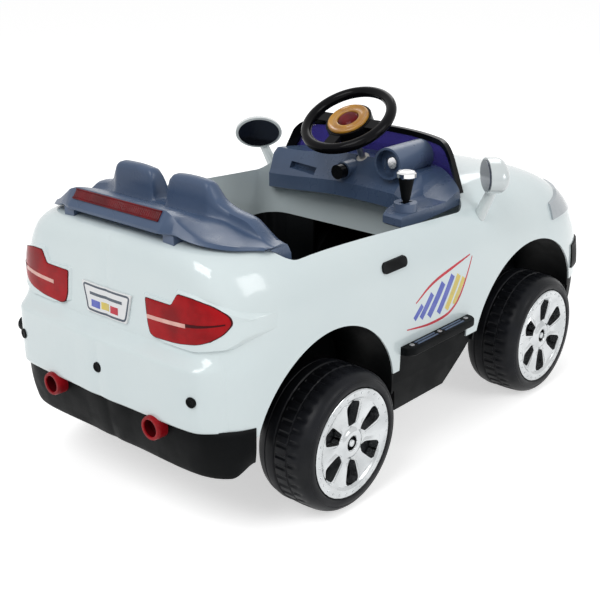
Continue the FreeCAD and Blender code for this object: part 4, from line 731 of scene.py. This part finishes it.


# tail lamps: domed lenses with a dark rim, a pale bar and a dark red line painted as the shade of a recess,
# each in a white surround
lampForm = {
    "outline": (
        (85.3, 367.7, 4), (138, 367.7, 4), (150.2, 386.7, 4), (176, 385.7, 10), (208, 378.6, 9),
        (224.7, 365.8, 7), (228.6, 354, 5), (221.7, 340.2, 8), (205.8, 328.3, 9), (186, 320.3, 9),
        (150, 314.3, 12), (104, 312.3, 5), (94.3, 316.3, 5), (89.3, 330, 6),
    ),
    "surround": (
        (80.5, 372.5, 2), (135, 370.6, 2), (147, 391.5, 2), (175.5, 389.6, 3), (218.5, 374.6, 3),
        (247, 357.5, 2), (249.5, 335.5, 2), (229, 317.5, 3), (181, 307.5, 4), (120, 307.5, 4),
        (85.5, 318.5, 3),
    ),
    "centre": (158, 347),
    # share of the outline, lift from the skin of the lamp
    "rings": (
        (1, -0.6), (1, 0.6), (0.992, 1), (0.975, 1.2), (0.93, 1.4), (0.85, 1.6), (0.72, 1.7), (0.56, 1.7),
        (0.4, 1.7), (0.24, 1.7), (0.1, 1.7), (0.01, 1.7),
    ),
    "tones": (1, 1, 1, 0, 0, 0, 0, 0, 0, 0, 0),  # dark rim, then the red dome
    "surroundRings": (
        (1, -0.4), (0.995, 0.15), (0.94, 0.3), (0.9, 0.3), (0.82, 0.3), (0.74, 0.3), (0.66, 0.3),
    ),
    "skinRings": 2,  # outer rings of the surround that lie on the body
    # shares of the way out where the lens is looked for, step in to its slope
    "shrinks": (1, 0.98, 0.96, 0.93, 0.9, 0.86, 0.8, 0.7, 0.6), "probe": 0.03,
    "bar": {
        "left": ((122, 341.5, 0), (160, 343, 9), (200, 346, 0)),
        "right": ((90, 340.5, 0), (130, 342, 9), (166, 344, 0)),
    },
    # the dark line: painted shade where the lens seems to have a recess
    "line": {
        "left": ((200, 347, 0), (210, 348, 5), (220, 350, 0)),
        "right": ((166, 345, 0), (185, 347, 9), (202, 350, 9), (221, 354, 0)),
    },
    "barHalf": 2.9, "shadeLineHalf": (2.4, 0.8), "markLift": 2.1, "spacing": 4,
}
lampTree = skinTree("tail_lamps")


def lampPlace(side, across, up, lift):
    centre, probe = Vector(lampForm["centre"]), lampForm["probe"]
    run = Vector((across, up)) - centre
    for shrink in lampForm["shrinks"]:  # past the lens the skin is carried on
        outer, inner = centre + run * shrink, centre + run * (shrink - probe)
        spot, normal = castOn(lampTree, (-farOut, side * outer.x, outer.y), (1, 0, 0))
        other = castOn(lampTree, (-farOut, side * inner.x, inner.y), (1, 0, 0))[0]
        if spot and other:
            depth = spot.x + (spot.x - other.x) * (1 - shrink) / probe
            return Vector((depth, side * across * mm, up * mm)) + normal * lift * mm


def shadeLineHalf(t):
    thick, thin = lampForm["shadeLineHalf"]
    return thick + (thin - thick) * t


def makeLamps():
    form, made = lampForm, ([], [], [])
    points, faces, paintOf = made
    centre = Vector(form["centre"])
    for sideName, side in sides:

        def place(across, up, lift):
            return lampPlace(side, across, up, lift)

        for key, rings, tones in (
            ("surround", form["surroundRings"], (3,)), ("outline", form["rings"], form["tones"]),
        ):
            outline, spots = roundedPath(form[key], True, form["spacing"]), []
            for index, (share, lift) in enumerate(rings):
                for spot in outline:
                    across, up = centre + (spot - centre) * share
                    if key == "surround" and index < form["skinRings"]:
                        spots.append(layOn(shellTree, (-farOut, side * across, up), (1, 0, 0), lift))
                    else:
                        spots.append(place(across, up, lift))
            joinOn(made, (spots, gridFaces(len(rings), len(outline), False, True)), tones)
        faces.append(tuple(range(len(points) - len(outline), len(points))))  # middle of the dome
        paintOf.append(0)
        # the bar is pale; the line is painted dark red as the painted shade of a recess
        for key, half, tone in (("bar", form["barHalf"], 2), ("line", shadeLineHalf, 1)):
            path = roundedPath(form[key][sideName], False, form["spacing"])
            joinOn(made, tapeGrid(path, half, form["markLift"], place), (tone,))
    addPiece("tail_lamp_lenses", made, ["redLens", "darkRed", "stripePale", "bodyWhite"], "chassis",
             ["tail_lamps"], 40)


makeLamps()
print("tail lamps made")


# number plate: dark border and plain colour bars
plateForm = {
    "border": ((-51, 357, 5), (51, 357, 5), (41.5, 319, 5), (-41.5, 319, 5)), "borderHalf": 1.5,
    "lift": 0.25, "spacing": 5, "barSteps": 6,
    # start and end across, height, half height, paint
    "bars": ((33, 13, 330, 5.5, 1), (10, -7, 331, 5.5, 2), (-10, -27, 330, 5.5, 3), (36, -36, 345, 2.2, 0)),
}
plateTree = skinTree("number_plate")


def platePlace(across, up, lift):
    return layOn(plateTree, (-farOut, across, up), (1, 0, 0), lift)


def makePlatePrint():
    form, made = plateForm, ([], [], [])
    border = roundedPath(form["border"], True, form["spacing"])
    joinOn(made, tapeGrid(border, form["borderHalf"], form["lift"], platePlace, True))
    for start, end, up, half, tone in form["bars"]:
        run = straightRun((start, up), (end, up), form["barSteps"])
        joinOn(made, tapeGrid(run, half, form["lift"], platePlace), (tone,))
    addPiece("plate_print", made, ["darkInk", "blueInk", "yellowInk", "redInk"], "chassis",
             (), 60)


makePlatePrint()
print("plate printed")


# rear bumper: white bar proud of the tailgate, carried round the tail from one upright pole
bumperForm = {
    "pole": -300, "far": 500, "planLevel": 270, "stand": 18, "ends": 49.5, "fade": 39, "columns": 120,
    "back": 26, "ledge": (285, 309), "lift": 0.2, "endSink": -0.6,
    # height, stand of the skin behind it
    "skin": ((180, 0), (270, 0), (300, -4.4), (318, -7.8)),
    "lip": ((194.6, -4), (194.6, 12), (195.4, 15.6), (197.5, 17.4), (201, 18)),
    "levels": (214, 228, 244, 260, 272, 280, *range(284, 308, 2), 309),
}


def tailPoint(turn, radius, level):
    return Vector((bumperForm["pole"] - radius * math.cos(turn), radius * math.sin(turn), level)) * mm


def tailRadius(turn):
    far, level = bumperForm["far"], bumperForm["planLevel"]
    start = tailPoint(turn, far, level)
    way = tailPoint(turn, 0, level) - start
    return far - shellTree.ray_cast(start, way.normalized())[3] / mm


def makeBumper():
    form, columns = bumperForm, bumperForm["columns"]
    section = list(form["lip"])
    for level in form["levels"]:
        section.append((level, form["stand"] - form["back"] * ease(level, *form["ledge"])))
    ends, fade = math.radians(form["ends"]), math.radians(form["fade"])
    points = []
    for column in range(columns + 1):
        turn = ends * (2 * column / columns - 1)
        plan = tailRadius(turn) + (form["endSink"] if column in (0, columns) else form["lift"])
        share = 1 - ease(abs(turn), fade, ends)
        for level, stand in section:
            skin = lineAt(form["skin"], level)
            points.append(tailPoint(turn, plan + skin + (stand - skin) * share, level))
    faces = gridFaces(columns + 1, len(section))
    addPiece("rear_bumper_bar", (points, faces, []), ["bodyWhite"], "chassis", (), 50)
    return BVHTree.FromPolygons(points, faces)


bumperTree = makeBumper()
print("bumper bar laid")


# round caps in the bumper
capForm = {
    "spots": ((0, 243), (190, 243), (-190, 243)), "steps": 40,
    # radius, height above the bumper
    "rings": ((8, -1.5), (8, 1.4), (7.3, 2.3), (5.4, 2.5), (4.6, 1.9), (2, 1.7), (0.05, 1.7)),
}


def makeCaps():
    made = ([], [], [])
    for across, up in capForm["spots"]:
        spot, normal = castOn(bumperTree, (-farOut, across, up), (1, 0, 0))
        right = normal.cross(Vector((0, 0, 1))).normalized()
        above = right.cross(normal)

        def onBumper(along, rise, height):
            return spot + (right * along + above * rise + normal * height) * mm

        joinOn(made, turned(capForm["rings"], capForm["steps"], onBumper))
    addPiece("bumper_plugs", made, ["blackPlastic"], "chassis", ["bumper_caps"], 35)


makeCaps()
print("bumper caps made")


# rear valance: black skirt under the bumper, its lower corners swept up
valanceForm = {
    "ends": 57, "columns": 130, "low": 117, "top": 196.4, "sweep": 20, "sweepStart": 50, "tuck": 0.8,
    "tuckStart": 38,
    # share of the height, stand from the plan line
    "section": (
        (0.04, -13), (0.005, -11.4), (0, -9.6), (0.012, -7.9), (0.05, -6.4), (0.15, -4.2), (0.3, -1.4),
        (0.45, 1), (0.6, 2.8), (0.75, 4.1), (0.88, 4.8), (1, 5), (1, -4), (0.5, -6),
    ),
}


def makeValance():
    form = valanceForm
    columns, ends = form["columns"], math.radians(form["ends"])
    points = []
    for column in range(columns + 1):
        turn = ends * (2 * column / columns - 1)
        plan = tailRadius(turn)
        low = form["low"] + form["sweep"] * ease(abs(turn), math.radians(form["sweepStart"]), ends)
        tuck = 1 - form["tuck"] * ease(abs(turn), math.radians(form["tuckStart"]), ends)
        for share, stand in form["section"]:
            level = low + (form["top"] - low) * share
            points.append(tailPoint(turn, plan + (stand * tuck if stand > 0 else stand), level))
    faces = barFaces(columns + 1, len(form["section"]))
    addPiece("rear_skirt", (points, faces, []), ["blackPlastic"], "chassis",
             ["rear_valance"], 40)


makeValance()
print("valance made")


# exhaust tips: short red tubes out of the valance, their bore painted dark red as painted shade
exhaustForm = {
    "places": (114, -114), "height": 182, "steps": 64,
    # radius, distance behind the middle of the car
    "profile": (
        (18.8, 505), (18.8, 534), (18.5, 539), (17.5, 541.2), (15.6, 541.6), (13.6, 541.2), (13, 539.4),
        (12.6, 528), (0.1, 527.5),
    ),
    # the bore's wall and floor are painted dark red: painted shade inside the tube
    "tones": (0, 0, 0, 0, 0, 0, 1, 1),
}


def makeExhausts():
    form, made = exhaustForm, ([], [], [])
    for place in form["places"]:

        def onTail(across, up, reach):
            return Vector((-reach, place + across, form["height"] + up)) * mm

        joinOn(made, turned(form["profile"], form["steps"], onTail), form["tones"])
    addPiece("exhaust_tubes", made, ["redPlastic", "darkRed"], "chassis",
             ["exhaust_tips"], 40)


makeExhausts()
print("exhaust tips made")


# side stripes: slanted bars between two long red strokes
stripeForm = {
    "lift": 0.25, "strokeThin": 0.9, "strokeSwell": 6, "spacing": 5, "barSteps": 8,
    # foot along the car, foot height, top along the car, top height, half width, paint
    "bars": (
        (-108, 258, -86, 276, 4.5, 1), (-90, 255, -58, 288, 5.5, 1), (-68, 252, -26, 298, 6.5, 1),
        (-41, 250, 2, 304, 6, 1), (-18, 250, 20, 300, 6, 2), (4, 253, 34, 292, 5, 2),
    ),
    "strokes": (
        ((-128, 246, 0), (-60, 236, 40), (10, 242, 40), (62, 322, 0)),
        ((-104, 284, 0), (-60, 306, 30), (56, 326, 0)),
    ),
}


def strokeHalf(t):
    return stripeForm["strokeThin"] + stripeForm["strokeSwell"] * t * (1 - t)


def makeStripes():
    form = stripeForm
    for sideName, side in sides:

        def place(along, up, lift):
            return layOn(shellTree, (along, side * farOut, up), (0, -side, 0), lift)

        made = ([], [], [])
        for stroke in form["strokes"]:
            path = roundedPath(stroke, False, form["spacing"])
            joinOn(made, tapeGrid(path, strokeHalf, form["lift"], place))
        for footX, footZ, topX, topZ, half, tone in form["bars"]:
            run = straightRun((footX, footZ), (topX, topZ), form["barSteps"])
            joinOn(made, tapeGrid(run, half, form["lift"], place), (tone,))
        addPiece("side_stripes_" + sideName, made, ["redInk", "blueInk", "yellowInk"], "chassis",
                 (), 60)


makeStripes()
print("side stripes laid")


# side treads: rounded ledges with pairs of ribs, their tops painted pale slate as painted highlight, and
# the screws on them
treadForm = {
    "rear": -142.4, "front": 48.4, "inner": 233.6, "outer": 283, "low": 208.3, "high": 221.5,
    "corner": 16, "cornerSteps": 8, "flat": 262, "edge": 2.5, "edgeHalf": 0.7, "edgeDrop": 0.8,
    "chamfer": 2,
    "ribs": ((-112, -58), (-36, 18)), "ribLines": (267, 273.5), "ribHalf": 1.3, "ribTall": 0.9,
    "ribFlank": 0.5, "ribEnd": 0.6,
    "screws": (-124, -47, 30), "screwLine": 270, "screwSteps": 20,
    # radius, height above the tread
    "screwRings": ((4.2, 0), (4.2, 1.2), (3.4, 1.9), (1.6, 2.1), (1.5, 1.1), (0.1, 1.1)),
}


def treadStations():
    rear, front, corner, steps = (treadForm[key] for key in ("rear", "front", "corner", "cornerSteps"))
    stations = {rear, front}
    for start, end in treadForm["ribs"]:
        stations |= {start - treadForm["ribEnd"], start, end, end + treadForm["ribEnd"]}
    for step in range(steps + 1):
        inset = corner * (1 - math.cos(math.pi / 2 * step / steps))
        stations |= {rear + inset, front - inset}
    return sorted(stations)


def treadLines():
    form, outer = treadForm, treadForm["outer"]
    half, wide = form["ribHalf"], form["ribHalf"] + form["ribFlank"]
    lines = [form["inner"], form["flat"]]
    for line in form["ribLines"]:
        lines += [line - wide, line - half, line + half, line + wide]
    return lines + [outer - form["edge"], outer - form["edgeHalf"], outer]


def makeTreads():
    form, stations, lines = treadForm, treadStations(), treadLines()
    inner, outer, low, high = (form[key] for key in ("inner", "outer", "low", "high"))
    corner, chamfer, ribReach = form["corner"], form["chamfer"], form["ribHalf"] + form["ribFlank"] / 2
    middle, halfLong = (form["rear"] + form["front"]) / 2, (form["front"] - form["rear"]) / 2
    for sideName, side in sides:
        points = []
        for x in stations:
            short = max(corner - halfLong + abs(x - middle), 0)
            pull = corner - math.sqrt(max(corner ** 2 - short ** 2, 0))  # round corner in plan
            ribbed = any(start <= x <= end for start, end in form["ribs"])
            for y in lines:
                rise = 0
                if ribbed and any(abs(y - line) < ribReach for line in form["ribLines"]):
                    rise = form["ribTall"]
                if y > outer - form["edge"]:
                    rise = -form["edgeDrop"] if y < outer else -form["edge"]
                reach = inner + (y - inner) * (outer - pull - inner) / (outer - inner)
                points.append(Vector((x, side * reach, high + rise)) * mm)
            under = ((outer - pull, low + chamfer), (outer - pull - chamfer, low), (inner, low))
            points += [Vector((x, side * reach, level)) * mm for reach, level in under]
        faces = barFaces(len(stations), len(lines) + len(under))
        # rib tops above this level are painted pale slate: a painted highlight along the ribs
        ribHighlightLevel = (high + form["ribTall"] / 2) * mm
        paintOf = [1 if max(points[index].z for index in face) > ribHighlightLevel else 0 for face in faces]
        addPiece("side_tread_" + sideName, (points, faces, paintOf), ["blackPlastic", "slatePlastic"],
                 "chassis", ["side_steps"], 30)
        made = ([], [], [])
        for x in form["screws"]:

            def onTread(along, across, height):
                return Vector((x + along, side * form["screwLine"] + across, high + height)) * mm

            joinOn(made, turned(form["screwRings"], form["screwSteps"], onTread))
        addPiece("tread_screws_" + sideName, made, ["steelBare"], "chassis", ["step_screws"], 30)


makeTreads()
print("side treads made")


# grille bars, on the dark insert in the nose
grilleForm = {
    "heights": (268, 275, 282, 289, 296), "rim": 262, "rimHalf": 96, "slope": 0.42, "inset": 5, "half": 1.3,
    "lift": 1.4, "steps": 40,
}
grilleTree = skinTree("front_grille")


def grillePlace(across, up, lift):
    return layOn(grilleTree, (farOut, across, up), (-1, 0, 0), lift)


def makeGrilleBars():
    form, made = grilleForm, ([], [], [])
    for up in form["heights"]:
        reach = form["rimHalf"] + form["slope"] * (up - form["rim"]) - form["inset"]
        run = straightRun((-reach, up), (reach, up), form["steps"])
        joinOn(made, tapeGrid(run, form["half"], form["lift"], grillePlace))
    addPiece("grille_bars", made, ["silverCover"], "chassis", (), 40)


makeGrilleBars()
print("grille bars laid")


# brake strip: ribbed lens on the slanted face of the wing
brakeForm = {
    "foot": (-489, 471.7), "head": (-479.2, 485.3), "outward": (-0.8115, 0.5843), "half": 93, "rows": 372,
    "ribs": 46, "ribDeep": 0.9,
    # share up the face, stand, share of the ribs
    "section": (
        (0, 0.3, 0), (0, 2, 0), (0.05, 2.9, 0), (0.14, 3.1, 0), (0.17, 2.6, 1), (0.5, 2.7, 1),
        (0.83, 2.6, 1), (0.86, 3.1, 0), (0.95, 2.9, 0), (1, 2, 0), (1, 0.3, 0),
    ),
}


def makeBrakeStrip():
    form, rows = brakeForm, brakeForm["rows"]
    foot, head, outward = (Vector(form[key]) for key in ("foot", "head", "outward"))
    points = []
    for row in range(rows + 1):
        y = form["half"] * (2 * row / rows - 1)
        rib = abs(math.sin(math.pi * form["ribs"] * row / rows))
        for share, stand, ribbed in form["section"]:
            x, z = foot.lerp(head, share) + outward * (stand - form["ribDeep"] * ribbed * (1 - rib))
            points.append(Vector((x, y, z)) * mm)
    faces = barFaces(rows + 1, len(form["section"]))
    addPiece("brake_strip", (points, faces, []), ["brakeRed"], "chassis",
             ["brake_light"], 35)


makeBrakeStrip()
print("brake strip made")


# amber disc round the horn button, turned on the column's axis
discForm = {
    "centre": (43, 0, 522), "tilt": 30, "steps": 96,
    # radius, height above the hub
    "profile": (
        (19.2, 0.4), (19.2, 3), (19.8, 4), (21.5, 4.6), (24.5, 4.5), (25.8, 3.6), (26.6, 2.9),
        (29, 2.7), (32.5, 3.1), (33.6, 4.4), (34.8, 5), (36.4, 4.6), (37.6, 3.2), (38, 1.6), (38, 0.4),
    ),
}


def makeHornDisc():
    form, tilt = discForm, math.radians(discForm["tilt"])
    axis = Vector((-math.sin(tilt), 0, math.cos(tilt)))
    forward, left = Vector((math.cos(tilt), 0, math.sin(tilt))), Vector((0, 1, 0))

    def onColumn(along, across, height):
        return (Vector(form["centre"]) + forward * along + left * across + axis * height) * mm

    points, faces = turned(form["profile"], form["steps"], onColumn, True)
    addPiece("horn_disc", (points, faces, []), ["amberRing"], "steering", ["horn_ring"], 45)


makeHornDisc()
print("horn disc made")
